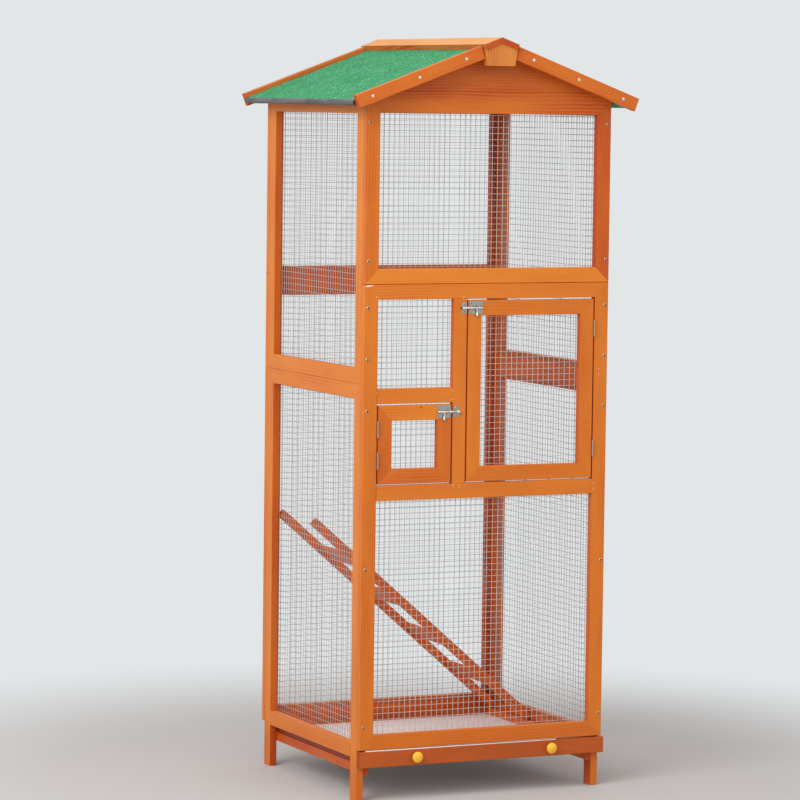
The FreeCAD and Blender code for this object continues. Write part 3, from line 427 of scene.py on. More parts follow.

# Each row: name, nodes, direction, stain, depth of stain (with painted shade and sheen on the drawer frame
# and cap), strength of the grain, painted shade on inner faces, knot
BOARDS = [
    ("front_stiles", "front_upper_stiles front_lower_stiles", upright, ORANGE, of_the_stiles, 1.0, 0.30),
    ("uprights", "front_mullion main_door_stiles", upright, ORANGE, 0.33, 1.0, 0.36),
    ("small_stiles", "small_door_stiles", upright, ORANGE, 0.52, 1.0, 0.36),
    ("legs", "left_legs right_legs left_upper_stiles right_upper_stiles", upright, ORANGE, of_the_legs,
     1.0, 0.42),
    ("back_uprights", "back_upper_stiles back_lower_stiles", upright, ORANGE, 0.25, 1.0, 0.50),
    ("pale_rail", "front_upper_rail", crosswise, ORANGE, 0.09, 1.0, 0.30),
    ("rails", "front_lower_rails front_short_rail", crosswise, ORANGE, of_the_rails, 0.65, 0.30),
    ("door_rails", "main_door_rails", crosswise, ORANGE, 0.37, 0.7, 0.30),
    ("gables", "front_gable_boards back_gable_boards", crosswise, ORANGE, 0.57, 1.4, 0.30),
    ("back_rails", "back_upper_rail back_lower_rails", crosswise, ORANGE, 0.25, 1.0, 0.50),
    ("side_rails", "left_lower_rails right_lower_rails left_upper_rails right_upper_rails", lengthwise,
     ORANGE, 0.22, 1.0, 0.50),
    ("cap", "ridge_cap_boards", lengthwise, SHEEN_ORANGE, of_the_cap_painted_sheen, 1.2),
    ("roof", "roof_boards", lengthwise, ORANGE, 0.35),
    ("runners", "drawer_runners", lengthwise, ORANGE, 0.62),
    ("front_barge", "front_barge_boards", down_the_roof, ORANGE, 0.56, 1.3),
    ("rear_barge", "rear_barge_boards", down_the_roof, SHEEN_ORANGE, 0.55, 1.3),
    ("blocks", "ridge_end_blocks", upright, SHEEN_ORANGE, 0.46, 1.8),
    ("ladder", "ladder_rails", up_the_ladder, RED, 0.10),
    ("slats", "ladder_slats", lengthwise, RED, 0.10),
    ("drawer_front", "drawer_front", crosswise, DRAWER_RED, 0.07),
    ("drawer_frame", "drawer_frame", around_the_drawer, FRAME_RED, of_the_drawer_painted_shade),
    ("small_door", "small_door_rails", crosswise, ORANGE, of_the_small_rails, 1.1, 0.30, SMALL_DOOR_KNOT),
]


def dress(piece, material):
    """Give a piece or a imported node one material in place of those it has."""
    piece.data.materials.clear()
    piece.data.materials.append(material)


def modify(piece, kind, **settings):
    """Add a modifier to a piece and give it its settings."""
    modifier = piece.modifiers.new(kind.lower(), kind)
    for key, setting in settings.items():
        setattr(modifier, key, setting)


MEETING_BOARDS = ("roof_boards", "ridge_cap_boards")
ARRIS, BARGE_ARRIS = 0.0009, 0.0018
WELD_REACH = 0.00001


def ease_arrises(node):
    """Merge the loose triangles of a packed board and break its sharp edges a little.

    Two boards of one node that share a mitre would be merged with each other, so they stay sharp.
    """
    if node not in MEETING_BOARDS:
        modify(nodes[node], "WELD", merge_threshold=WELD_REACH)
        modify(nodes[node], "BEVEL", width=BARGE_ARRIS if node.endswith("barge_boards") else ARRIS,
               segments=3, limit_method="ANGLE", angle_limit=math.radians(34))


for name, members, *rules in BOARDS:
    material = pine(name, *rules)
    for node in members.split():
        dress(nodes[node], material)
        ease_arrises(node)
print("pine finishes:", len(BOARDS))

# %% [markdown]
# ## Metal
#
# The nets are galvanised: their zinc is dull and faintly spangled. The bolts and hinges are
# brighter zinc plate with a few brushed scratches. The colour of a metal is the tint of what it
# reflects, so most of the look comes from the roughness. The nets have light and shade painted in:
# the front and left nets get pale lit copies of their zinc, made only a little metallic, the left one
# a little less lit, and the back and right nets, seen from their shaded side, a dark copy.


# %% Zinc
def zinc(name, tint, roughness, grain, metallic=1.0):
    finish = Finish(name)
    x, y, z = finish.place()
    spangle = finish.noise(x * grain, y * grain, z * grain, detail=3)
    scratch = finish.noise(x * 3000, y * 3000, z * 160, detail=1)
    colour = finish.mix((spangle - 0.25).clamped(), tint, tuple(channel * 0.62 for channel in tint))
    return finish.surface(colour, roughness + (spangle - 0.5) * 0.30 + (scratch - 0.5) * 0.12,
                          scratch, depth=0.00002, Metallic=metallic)


# Painted light and shade: lit, half lit and shaded copies of the one galvanised zinc of the nets
painted_lit_wire = zinc("painted_lit_wire", (0.72, 0.67, 0.65), 0.45, 500, metallic=0.25)
painted_half_lit_wire = zinc("painted_half_lit_wire", (0.62, 0.56, 0.53), 0.45, 500, metallic=0.25)
painted_shaded_wire = zinc("painted_shaded_wire", (0.42, 0.40, 0.39), 0.50, 500)
polished_zinc = zinc("polished_zinc", (0.78, 0.79, 0.74), 0.27, 260)
plate_zinc = zinc("plate_zinc", (0.40, 0.41, 0.38), 0.36, 420)
staple_wire = zinc("staple_wire", (0.98, 0.80, 0.64), 0.40, 260, metallic=0.4)
hinge_zinc = zinc("hinge_zinc", (0.52, 0.37, 0.28), 0.42, 260)
for node in ("main_door_hinge_leaves", "small_door_hinge_leaves", "frame_hinge_leaves", "hinge_pins"):
    dress(nodes[node], hinge_zinc)
print("metal finishes ready")

# %% [markdown]
# ## Working with operators
#
# Every new piece below starts from a primitive and is shaped in edit mode. An operator acts on all
# that is selected, so a few small helpers first clear the selection, start a primitive, pick faces
# or edges by where they are, and settle a finished piece: its place goes into the mesh and its
# object back to the origin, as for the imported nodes.


# %% Starting and shaping
TINY = 1e-6
MERGE_REACH = 1e-5


def on_axes(numbers):
    """A vector with the given number on each axis that is named, and nought on the others."""
    return Vector([numbers.get(axis, 0) for axis in range(3)])


def apply_place():
    """Move the place, turn and scale of the selected objects into their meshes."""
    bpy.ops.object.transform_apply(location=True, rotation=True, scale=True)


def start_piece(primitive, name, extent=(1, 1, 1), **options):
    """Add one primitive with nothing else selected, its place and extent put into its mesh."""
    bpy.ops.object.select_all(action="DESELECT")
    getattr(bpy.ops.mesh, f"primitive_{primitive}_add")(**options)
    piece = bpy.context.object
    piece.name = name
    piece.scale = extent
    apply_place()
    return piece


def open_mesh():
    """Go into edit mode with everything selected."""
    bpy.ops.object.mode_set(mode="EDIT")
    bpy.ops.mesh.select_all(action="SELECT")


def leave_mesh(outwards=False):
    """Go back to object mode, after turning all faces outwards where that is asked."""
    if outwards:
        bpy.ops.mesh.select_all(action="SELECT")
        bpy.ops.mesh.normals_make_consistent(inside=False)
    bpy.ops.object.mode_set(mode="OBJECT")


def extrude(way):
    """Extrude what is selected along a vector."""
    bpy.ops.mesh.extrude_region_move(TRANSFORM_OT_translate={"value": tuple(way)})


def lift(height):
    bpy.ops.transform.translate(value=(0, 0, height))


def pick(piece, kind, test):
    """In edit mode, select only the verts, edges or faces whose middle passes the test."""
    bpy.ops.mesh.select_mode(type={"verts": "VERT", "edges": "EDGE", "faces": "FACE"}[kind])
    bpy.ops.mesh.select_all(action="DESELECT")
    mesh = bmesh.from_edit_mesh(piece.data)
    for element in getattr(mesh, kind):
        corners = [element] if kind == "verts" else element.verts
        middle = sum((corner.co for corner in corners), Vector()) / len(corners)
        if test(middle, element):
            element.select_set(True)
    mesh.select_flush_mode()
    bmesh.update_edit_mesh(piece.data)


# %% Settling a piece
def select_only(*pieces):
    bpy.ops.object.select_all(action="DESELECT")
    for piece in pieces:
        piece.select_set(True)
    bpy.context.view_layer.objects.active = pieces[0]


def smooth(degrees):
    """Shade smoothly, but keep the edges where faces turn by more than this."""
    bpy.ops.object.shade_smooth_by_angle(angle=math.radians(degrees))


def finish_modifiers(piece):
    select_only(piece)
    for modifier in list(piece.modifiers):
        bpy.ops.object.modifier_apply(modifier=modifier.name)


def settle(piece, body, material, stands_for=()):
    """Apply the piece's place and let it ride on its body, with its material."""
    select_only(piece)
    apply_place()
    dress(piece, material)
    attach(piece, body)
    if stands_for:
        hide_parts(*stands_for)
    print(piece.name, "rides on", body, "with", len(piece.data.polygons), "faces")


def join_pieces(pieces, name):
    select_only(*pieces)
    bpy.ops.object.join()
    bpy.context.object.name = name
    return bpy.context.object


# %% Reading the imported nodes
def islands(node):
    """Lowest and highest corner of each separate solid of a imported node."""
    mesh = bmesh.new()
    mesh.from_mesh(nodes[node].data)
    bmesh.ops.remove_doubles(mesh, verts=mesh.verts, dist=MERGE_REACH)
    waiting = set(mesh.verts)
    boxes = []
    while waiting:
        reached = [waiting.pop()]
        for vert in reached:
            near = {edge.other_vert(vert) for edge in vert.link_edges} & waiting
            waiting -= near
            reached.extend(near)
        axes = list(zip(*(vert.co for vert in reached)))
        boxes.append((Vector([min(axis) for axis in axes]), Vector([max(axis) for axis in axes])))
    mesh.free()
    return sorted(boxes, key=lambda box: tuple(box[0]))


def net_box(node):
    """The corners of a net's box, its thin axis and its level axis."""
    low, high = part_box(node)
    thin = min((0, 1), key=lambda axis: high[axis] - low[axis])
    return low, high, thin, 1 - thin


print("modelling helpers ready")

# %% [markdown]
# ## The nets
#
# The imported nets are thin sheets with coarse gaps, enough for a collision. The real ones are
# welded from 1 mm wires every 13 mm. One wire is a six-sided tube made from a circle that is
# extruded step by step, an Array modifier repeats it, and a Displace modifier with soft clouds
# bends all of them a fraction of a millimetre, because real nets are never quite straight.

# %% Nets
WIRE = 0.00098
CROSSING = 0.0008
WIRE_SPACING = 0.013
WIRE_SIDES = 6
WIRE_STEPS = 16
WAVE_THROUGH, WAVE_ALONG = 0.0009, 0.0008


def clouds(name, size, depth):
    """A soft cloud texture that a Displace modifier can read."""
    texture = bpy.data.textures.new(name, "CLOUDS")
    texture.noise_scale = size
    texture.noise_depth = depth
    return texture


def ripple(piece, texture, axis, strength, still=0.5):
    """Push verts along one axis. still is the tone of the texture that moves nothing."""
    modify(piece, "DISPLACE", texture=texture, texture_coords="LOCAL", direction="XYZ"[axis],
           strength=strength, mid_level=still)


def wire_row(name, low, high, along, repeat, thin, depth):
    """Wires that run along one axis, repeated at even steps along another."""
    room = high[repeat] - low[repeat] - WIRE
    count = round(room / WIRE_SPACING) + 1
    turns = {0: (0, math.pi / 2, 0), 1: (-math.pi / 2, 0, 0), 2: (0, 0, 0)}
    start = on_axes({along: low[along], repeat: low[repeat] + WIRE / 2, thin: depth})
    piece = start_piece("circle", name, vertices=WIRE_SIDES, radius=WIRE / 2, fill_type="NGON",
                        location=start, rotation=turns[along])
    open_mesh()
    for _ in range(WIRE_STEPS):
        extrude(on_axes({along: (high[along] - low[along]) / WIRE_STEPS}))
    leave_mesh(outwards=True)
    modify(piece, "ARRAY", count=count, use_relative_offset=False, use_constant_offset=True,
           constant_offset_displace=on_axes({repeat: room / (count - 1)}))
    finish_modifiers(piece)
    return piece


net_waves = clouds("net_waves", 0.22, 1)


def net(node):
    low, high, thin, level = net_box(node)
    middle = (low[thin] + high[thin]) / 2
    uprights = wire_row(node + "_uprights", low, high, 2, level, thin, middle - CROSSING / 2)
    crosses = wire_row(node + "_crosses", low, high, level, 2, thin, middle + CROSSING / 2)
    piece = join_pieces([uprights, crosses], node + "_wires")
    for axis, strength in ((thin, WAVE_THROUGH), (level, WAVE_ALONG), (2, WAVE_ALONG)):
        ripple(piece, net_waves, axis, strength)
    finish_modifiers(piece)
    bpy.ops.object.shade_smooth()
    # Painted light: the front net gets the lit copy, the left net the half lit one; painted shade: the back
    # and right nets get the shaded one
    wire = painted_shaded_wire
    if middle < 0:
        wire = painted_lit_wire if thin == 1 else painted_half_lit_wire
    settle(piece, body_of_node[node], wire, [node])


NETS = [name for name in nodes if name.endswith("_net")]
for node in NETS:
    net(node)

# %% [markdown]
# ## The felted roof
#
# The felt is a bitumen sheet with green mineral granules. It lies a little unevenly on the boards
# and is curled round their lower ends, where the left sheet shows its bare grey edge strip. Each
# side starts as one plane along the slope. It is subdivided, its lower edge is spun round the end
# of the board and extruded back under it, soft clouds lift it here and there, and a Solidify
# modifier gives it 2 mm.


# %% Felt finish
boards_low, boards_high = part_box("roof_boards")
RIDGE = boards_high.z
BOARD = 0.009
FELT = 0.002
EAVE_DOWN = boards_high.x / math.cos(ROOF_SLOPE)
CURL_RADIUS = (BOARD + 2 * FELT) / 2 - FELT / 2
CURL_START = EAVE_DOWN - 0.001
SIDE_GAP = 0.0014


def felt_finish():
    finish = Finish("green_felt")
    x, y, z = finish.place()
    grains = finish.add("TexVoronoi", {"Vector": finish.point(x, y, z), "Scale": 520.0}).outputs
    tone = Value(finish, finish.add("SeparateColor", {0: grains["Color"]}).outputs[0])
    distance = Value(finish, grains["Distance"])
    patch = finish.noise(x, y, z, detail=3, scale=14.0)
    streak = finish.noise(x * 60, y * 260, z * 60)
    green = finish.mix(tone, (0.012, 0.205, 0.072), (0.075, 0.440, 0.190))
    green = finish.mix((tone - 0.90).step(0, 0.03) * 0.7, green, (0.50, 0.70, 0.56))
    green = finish.mix((patch - 0.42).step(0, 0.3) * 0.30 + (streak - 0.5) * 0.5, green, (0.012, 0.17, 0.06))
    down, above, back = down_the_roof(x, y, z - RIDGE)
    curled = down.step(CURL_START, CURL_START + 0.0006).larger((-above).step(0.003, 0.005))
    bare = curled * (-x).step(0, 0.01)
    scuff = finish.noise(x * 90, y * 12, z * 90, detail=3)
    grey = finish.mix((scuff - 0.25).clamped(), (0.080, 0.078, 0.082), (0.345, 0.335, 0.345))
    colour = finish.mix(bare, green, grey)
    # Painted shade: the felt darkens along its sides, next to the barge boards
    painted_barge_shade = 1 - (boards_high.y - abs(y)).step(SIDE_GAP, SIDE_GAP + 0.004)
    colour = finish.mix(painted_barge_shade * 0.85, colour, (0.006, 0.030, 0.014))
    height = (distance * -1.0 + tone * 0.6) * (1 - bare) + scuff * bare * 0.5
    return finish.surface(colour, 0.90, height, depth=0.0008, IOR=1.3)


green_felt = felt_finish()

# %% Felt sheets
FELT_CUTS = 31
CURL_STEPS = 12
FELT_RETURN = 0.024
FELT_WAVE = 0.0022
FELT_STILL = 0.35
felt_waves = clouds("felt_waves", 0.16, 2)


def felt_sheet(side):
    """One sheet, made on the right side of the ridge and mirrored for the left one."""
    width = boards_high.y - boards_low.y - 2 * SIDE_GAP
    sheet = start_piece("plane", "felt_sheet", (CURL_START, width, 1),
                        size=1, location=(CURL_START / 2, 0, FELT / 2))
    open_mesh()
    bpy.ops.mesh.subdivide(number_cuts=FELT_CUTS)
    pick(sheet, "edges", lambda middle, edge: middle.x > CURL_START - TINY)
    bpy.ops.mesh.spin(steps=CURL_STEPS, angle=math.pi, axis=(0, -1, 0),
                      center=(CURL_START, 0, FELT / 2 - CURL_RADIUS))
    extrude((-FELT_RETURN, 0, 0))
    bpy.ops.mesh.select_all(action="SELECT")
    bpy.ops.mesh.remove_doubles(threshold=MERGE_REACH)
    leave_mesh(outwards=True)
    ripple(sheet, felt_waves, 2, FELT_WAVE, FELT_STILL)
    modify(sheet, "SOLIDIFY", thickness=FELT, offset=0)
    finish_modifiers(sheet)
    smooth(40)
    sheet.rotation_euler = (0, ROOF_SLOPE, 0)
    sheet.location = (0, 0, RIDGE)
    apply_place()
    if side < 0:
        sheet.scale = (-1, 1, 1)
        apply_place()
        open_mesh()
        leave_mesh(outwards=True)
    return sheet


felt = join_pieces([felt_sheet(-1), felt_sheet(1)], "felt_sheets")
settle(felt, "cage", green_felt, ["roof_felt"])

# %% [markdown]
# ## Screws and nails
#
# The panels are held by countersunk screws with a cross recess. One head is modelled: a short
# cylinder with a domed rim, cut by two crossed wedges with a Boolean. It is copied to the place of
# each packed screw, each copy turned by its own angle, as screws end up in real life.

# %% Screw heads
random.seed(11)
HEAD_RADIUS = 0.0035
HEAD_HEIGHT = 0.0012
HEAD_SIDES = 20
RECESS_LENGTH_SHARE, RECESS_WIDTH_SHARE, RECESS_DEPTH_SHARE = 1.35, 0.70, 1.5
FRONT_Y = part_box("front_lower_stiles")[0].y


def screw_finish():
    """Yellow zinc, with painted shade down in the recess and round the foot of the head."""
    finish = Finish("yellow_zinc")
    x, y, z = finish.place()
    lift = (abs(y) + FRONT_Y).larger(abs(x) - OUTER_X)
    stained = finish.noise(x, y, z, scale=900.0)
    tint = finish.mix(stained, (0.84, 0.66, 0.47), (0.66, 0.46, 0.28))
    # Painted shade: near black where the head rises less than half a millimetre off the face it sits on
    colour = finish.mix(1 - lift.step(0.0005, 0.0007), tint, (0.035, 0.020, 0.015))
    return finish.surface(colour, 0.36, stained, depth=0.00003, Metallic=0.6)


def cut_box(piece, middle, extent, turned_by=0):
    """Cut a box out of a piece with a Boolean modifier."""
    box = start_piece("cube", "cutter", extent, size=1, location=middle, rotation=(0, 0, turned_by))
    modify(piece, "BOOLEAN", operation="DIFFERENCE", object=box)
    finish_modifiers(piece)
    bpy.data.objects.remove(box)


def screw_head(radius, height):
    """A cross-recessed head that sits on the XY plane and faces +Z."""
    head = start_piece("cylinder", "screw_head", vertices=HEAD_SIDES, radius=radius, depth=height,
                       location=(0, 0, height / 2))
    open_mesh()
    pick(head, "faces", lambda middle, face: middle.z > height * 0.9)
    bpy.ops.mesh.inset(thickness=radius * 0.30)
    lift(height * 0.15)
    pick(head, "verts", lambda place, vert: place.z > height * 0.9 and place.xy.length > radius * 0.9)
    lift(-height * 0.55)
    leave_mesh()
    recess = (radius * RECESS_LENGTH_SHARE, radius * RECESS_WIDTH_SHARE, height * RECESS_DEPTH_SHARE)
    for angle in (0, math.pi / 2):
        cut_box(head, (0, 0, height), recess, angle)
    return head


def scatter(master, places, name, body, material, stands_for=()):
    """Copy the master to each (point, direction), with its own mesh and turn, and settle them all."""
    copies = []
    for point, direction in places:
        copy = master.copy()
        copy.data = master.data.copy()
        bpy.context.scene.collection.objects.link(copy)
        facing = Vector(direction).to_track_quat("Z", "Y").to_matrix().to_4x4()
        own_turn = Matrix.Rotation(random.uniform(0, math.pi), 4, "Z")
        copy.matrix_world = Matrix.Translation(point) @ facing @ own_turn
        copies.append(copy)
    bpy.data.objects.remove(master)
    select_only(*copies)
    apply_place()
    settle(join_pieces(copies, name), body, material, stands_for)


def fastener_places(node, height):
    """Where the foot of each head is, sunk by the head's height, and which way it faces."""
    places = []
    for low, high in islands(node):
        axis = max((0, 1, 2), key=lambda number: high[number] - low[number])
        foot = (low + high) / 2
        outward = 1 if foot[axis] > 0 else -1
        foot[axis] = (high if outward > 0 else low)[axis] - outward * height
        places.append((foot, on_axes({axis: outward})))
    return places


scatter(screw_head(HEAD_RADIUS, HEAD_HEIGHT), fastener_places("frame_screws", HEAD_HEIGHT),
        "screw_heads", "cage", screw_finish(), ["frame_screws"])


# %% Barge nails
NAIL_RADIUS = 0.0032
NAIL_HEIGHT = 0.0008
NAIL_SIDES = 18


def nail_head():
    """A low domed head that sits on the XY plane and faces +Z."""
    head = start_piece("cylinder", "nail_head", vertices=NAIL_SIDES, radius=NAIL_RADIUS,
                       depth=NAIL_HEIGHT / 2, location=(0, 0, NAIL_HEIGHT / 4))
    open_mesh()
    for inset in (0.28, 0.3):
        pick(head, "faces", lambda middle, face: face.normal.z > 0.9 and middle.xy.length < NAIL_RADIUS * 0.3)
        bpy.ops.mesh.inset(thickness=NAIL_RADIUS * inset)
        lift(NAIL_HEIGHT * 0.25)
    leave_mesh()
    smooth(50)
    return head


scatter(nail_head(), fastener_places("barge_nails", NAIL_HEIGHT), "nail_heads", "cage", polished_zinc,
        ["barge_nails"])

# %% [markdown]
# ## The drawer's knobs
#
# Two turned wooden knobs, painted a glossy yellow. A lathe makes such a form, and here a disc
# stands in for the lathe: it is extruded from ring to ring along the profile and scaled to each
# ring's radius. The rods of the bolts are made on the same lathe further down.


# %% Lathe
def turned(name, start, axis, profile, vertices):
    """A round piece. profile holds (way along the axis from the start, radius there)."""
    axis = Vector(axis)
    start = Vector(start)
    reached, radius = profile[0]
    piece = start_piece("circle", name, vertices=vertices, radius=radius, fill_type="NGON",
                        location=start + axis * reached, rotation=axis.to_track_quat("Z", "Y").to_euler())
    open_mesh()
    for way, wide in profile[1:]:
        extrude(axis * (way - reached))
        bpy.ops.transform.resize(value=(wide / radius,) * 3, center_override=tuple(start + axis * way))
        reached, radius = way, wide
    leave_mesh(outwards=True)
    smooth(60)
    return piece


# %% Knobs
KNOB_SIDES = 40


def yellow_gloss():
    finish = Finish("yellow_paint")
    x, y, z = finish.place()
    tone = finish.noise(x, y, z, scale=90.0)
    orange_peel = finish.noise(x, y, z, detail=1, scale=700.0)
    colour = finish.mix((tone - 0.3).clamped(), (0.98, 0.52, 0.018), (0.93, 0.42, 0.010))
    return finish.surface(colour, 0.28 + (tone - 0.5) * 0.1, orange_peel, depth=0.00008,
                          Coat_Weight=0.3, Coat_Roughness=0.12)


# From the board outwards: how far out, and how wide there, as shares of the depth and the radius
KNOB_PROFILE = [(0.0, 0.52), (0.03, 0.52), (0.16, 0.47), (0.28, 0.46), (0.36, 0.55), (0.42, 0.78),
                (0.49, 0.93), (0.58, 1.0), (0.68, 0.985), (0.78, 0.90), (0.87, 0.74), (0.94, 0.52),
                (0.985, 0.26), (1.0, 0.08)]
knobs = []
for number, (low, high) in enumerate(islands("drawer_knobs")):
    knob_radius = (high.z - low.z) / 2
    knob_depth = high.y - low.y
    foot = ((low.x + high.x) / 2, high.y, (low.z + high.z) / 2)
    profile = [(out * knob_depth, wide * knob_radius) for out, wide in KNOB_PROFILE]
    knobs.append(turned(f"knob_{number + 1}", foot, (0, -1, 0), profile, KNOB_SIDES))
settle(join_pieces(knobs, "turned_knobs"), "drawer", yellow_gloss(), ["drawer_knobs"])

# %% [markdown]
# ## The barrel bolts
#
# Each bolt is pressed from thin sheet: a plate with rounded corners, windows where metal was
# pressed out, and arched bands that hold the rod. The plate starts as a plane with its corners
# bevelled, and its windows are cut with a Boolean. A band is half an open cylinder whose edges are
# extruded back to the plate, with a Solidify modifier. The rod comes from the lathe and carries a
# hanging handle with a thick tip.

# %% Bolt parts
SHEET = 0.0008
PLATE_CORNER = 0.0028
CUT_DEPTH = 0.01
BAND_RADIUS = 0.0037
BAND_SIDES = 28


def pressed_plate(name, low, high, windows=()):
    """A plate over a packed one. windows are (low x, high x, half height) about its middle."""
    middle_z = (low.z + high.z) / 2
    plate = start_piece("plane", name, (high.x - low.x, high.z - low.z, 1), size=1,
                        location=((low.x + high.x) / 2, FRONT_Y, middle_z), rotation=(math.pi / 2, 0, 0))
    open_mesh()
    bpy.ops.mesh.bevel(offset=PLATE_CORNER, segments=4, affect="VERTICES")
    bpy.ops.mesh.select_all(action="SELECT")
    extrude((0, -SHEET, 0))
    leave_mesh(outwards=True)
    for low_x, high_x, half in windows:
        cut_box(plate, ((low_x + high_x) / 2, FRONT_Y, middle_z), (high_x - low_x, CUT_DEPTH, 2 * half))
    return plate


def band(name, low_x, high_x, rod_y, rod_z):
    """A band of sheet arched over the rod."""
    width = high_x - low_x
    piece = start_piece("cylinder", name, vertices=BAND_SIDES, radius=BAND_RADIUS, depth=width,
                        end_fill_type="NOTHING", location=((low_x + high_x) / 2, rod_y, rod_z),
                        rotation=(0, math.pi / 2, 0))
    open_mesh()
    pick(piece, "faces", lambda middle, face: middle.y > rod_y + TINY)
    bpy.ops.mesh.delete(type="FACE")
    pick(piece, "edges", lambda middle, edge: abs(middle.y - rod_y) < TINY
         and abs(edge.verts[0].co.x - edge.verts[1].co.x) > width / 2)
    extrude((0, FRONT_Y - rod_y, 0))
    leave_mesh()
    modify(piece, "SOLIDIFY", thickness=SHEET, offset=-1)
    finish_modifiers(piece)
    smooth(40)
    return piece


def loops_of(node, rod_y):
    """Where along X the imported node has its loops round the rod."""
    places = sorted({round(vert.co.x, 5) for vert in nodes[node].data.vertices if vert.co.y < rod_y})
    return list(zip(places[::2], places[1::2]))


# %% Bolts
ROD_RADIUS = 0.0024
ROD_SIDES, HANDLE_SIDES = 24, 20
# From the end inwards: how far in, and the radius there
ROD_END = [(0, 0.0010), (0.0004, 0.0018), (0.0012, ROD_RADIUS)]
HANDLE_PROFILE = [(0.0, 0.0010), (0.002, 0.0014), (0.007, 0.0014), (0.011, 0.0016), (0.0135, 0.0022),
                  (0.0160, 0.0027), (0.0180, 0.0023), (0.0190, 0.0010)]
HANDLE_TIP = 0.002
# The plate's windows: the metal left beside each, and half its height
BETWEEN_ROOM, BETWEEN_HALF = 0.0012, 0.0042
BESIDE_ROOM, BESIDE_HALF = 0.0010, 0.0046
PLATE_RIM = 0.0022
BULGE_FLARE = 0.0012
PLATE_SCREW_INSET, KEEPER_SCREW_INSET = 0.0036, 0.0042
SMALL_HEAD_RADIUS, SMALL_HEAD_HEIGHT = 0.0019, 0.0008


def barrel_bolt(prefix, door):
    """Plate, bands and rod on the door, keeper and bulge on the frame, and their screws."""
    plate_low, plate_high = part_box(prefix + "_plate")
    keeper_low, keeper_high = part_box(prefix + "_keeper")
    rod_low, rod_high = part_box(prefix + "_rod")
    rod_y = (rod_low.y + rod_high.y) / 2
    rod_z = (plate_low.z + plate_high.z) / 2
    bands = loops_of(prefix + "_plate", rod_y)
    between = (bands[0][1] + BETWEEN_ROOM, bands[1][0] - BETWEEN_ROOM, BETWEEN_HALF)
    if bands[0][0] - plate_low.x > plate_high.x - bands[1][1]:
        beside = (plate_low.x + PLATE_RIM, bands[0][0] - BESIDE_ROOM, BESIDE_HALF)
    else:
        beside = (bands[1][1] + BESIDE_ROOM, plate_high.x - PLATE_RIM, BESIDE_HALF)
    plate = pressed_plate(prefix + "_pressed_plate", plate_low, plate_high, [between, beside])
    settle(plate, door, plate_zinc, [prefix + "_plate"])
    arches = [band(f"{prefix}_band_{number}", low_x, high_x, rod_y, rod_z)
              for number, (low_x, high_x) in enumerate(bands)]
    settle(join_pieces(arches, prefix + "_bands"), door, polished_zinc)
    keeper = pressed_plate(prefix + "_pressed_keeper", keeper_low, keeper_high)
    settle(keeper, "cage", plate_zinc, [prefix + "_keeper"])
    (low_x, high_x), = loops_of(prefix + "_keeper", rod_y)
    bulge = band(prefix + "_bulge", low_x - BULGE_FLARE, high_x + BULGE_FLARE, rod_y, rod_z)
    settle(bulge, "cage", polished_zinc)
    length = rod_high.x - rod_low.x
    far_end = [(length - way, radius) for way, radius in reversed(ROD_END)]
    shaft = turned(prefix + "_shaft", (rod_low.x, rod_y, rod_z), (1, 0, 0), ROD_END + far_end, ROD_SIDES)
    tip = [vert.co.x for vert in nodes[prefix + "_rod"].data.vertices if vert.co.z < rod_low.z + HANDLE_TIP]
    handle = turned(prefix + "_handle", (sum(tip) / len(tip), rod_y, rod_z), (0, 0, -1), HANDLE_PROFILE,
                    HANDLE_SIDES)
    settle(join_pieces([shaft, handle], prefix + "_round_rod"), prefix, polished_zinc,
           [prefix + "_rod"])
    inset = PLATE_SCREW_INSET
    corners = [(x, z) for x in (plate_low.x + inset, plate_high.x - inset)
               for z in (plate_low.z + inset, plate_high.z - inset)]
    pads = [((keeper_low.x + keeper_high.x) / 2, z)
            for z in (keeper_low.z + KEEPER_SCREW_INSET, keeper_high.z - KEEPER_SCREW_INSET)]
    for body, places in ((door, corners), ("cage", pads)):
        scatter(screw_head(SMALL_HEAD_RADIUS, SMALL_HEAD_HEIGHT),
                [((x, FRONT_Y - SHEET, z), (0, -1, 0)) for x, z in places],
                f"{prefix}_screws_{body}", body, plate_zinc)


barrel_bolt("main_bolt", "main_door")
barrel_bolt("small_bolt", "small_door")

# %% [markdown]
# ## Staples
#
# The butt joints of the front panel are held by crown staples shot across them, and the nets are
# stapled to the inner faces of the frames. A staple's crown is a short wire with rounded ends that
# lies on the surface. One is made on the lathe and copied. Small brads hold the mitres, and a
# sliver of raw wood shows where the left stile's corner is chipped.

# %% Staples
STAPLE_RADIUS = 0.00045
STAPLE_PROFILE = [(-0.0045, 0.0002), (-0.0043, 0.0004), (-0.0040, STAPLE_RADIUS), (0.0040, STAPLE_RADIUS),
                  (0.0043, 0.0004), (0.0045, 0.0002)]
# Middles of the crowns on the front face, as (x, z), and whether they stand upright
JOINT_STAPLES = [(-0.0825, 0.8882, False), (-0.0823, 0.8700, False), (-0.0778, 0.6822, True),
                 (-0.0640, 0.6818, True), (-0.0585, 1.0885, True)]
# Heads of the small brads through the mitres, as (x, z)
BRADS = [(0.2637, 0.6772), (0.2640, 0.6639), (0.2729, 0.9302), (0.2731, 0.9178), (-0.2653, 1.0934),
         (-0.2625, 0.8865)]
BRAD_PROFILE = [(0.0, 0.0010), (0.0002, 0.0010), (0.0004, 0.0005)]
STAPLE_SIDES, BRAD_SIDES = 6, 10


def staples(places, name, body, material):
    """Crowns at (middle, direction) places, joined into one piece."""
    crown = turned("staple", (0, 0, 0), (0, 0, 1), STAPLE_PROFILE, STAPLE_SIDES)
    scatter(crown, places, name, body, material)


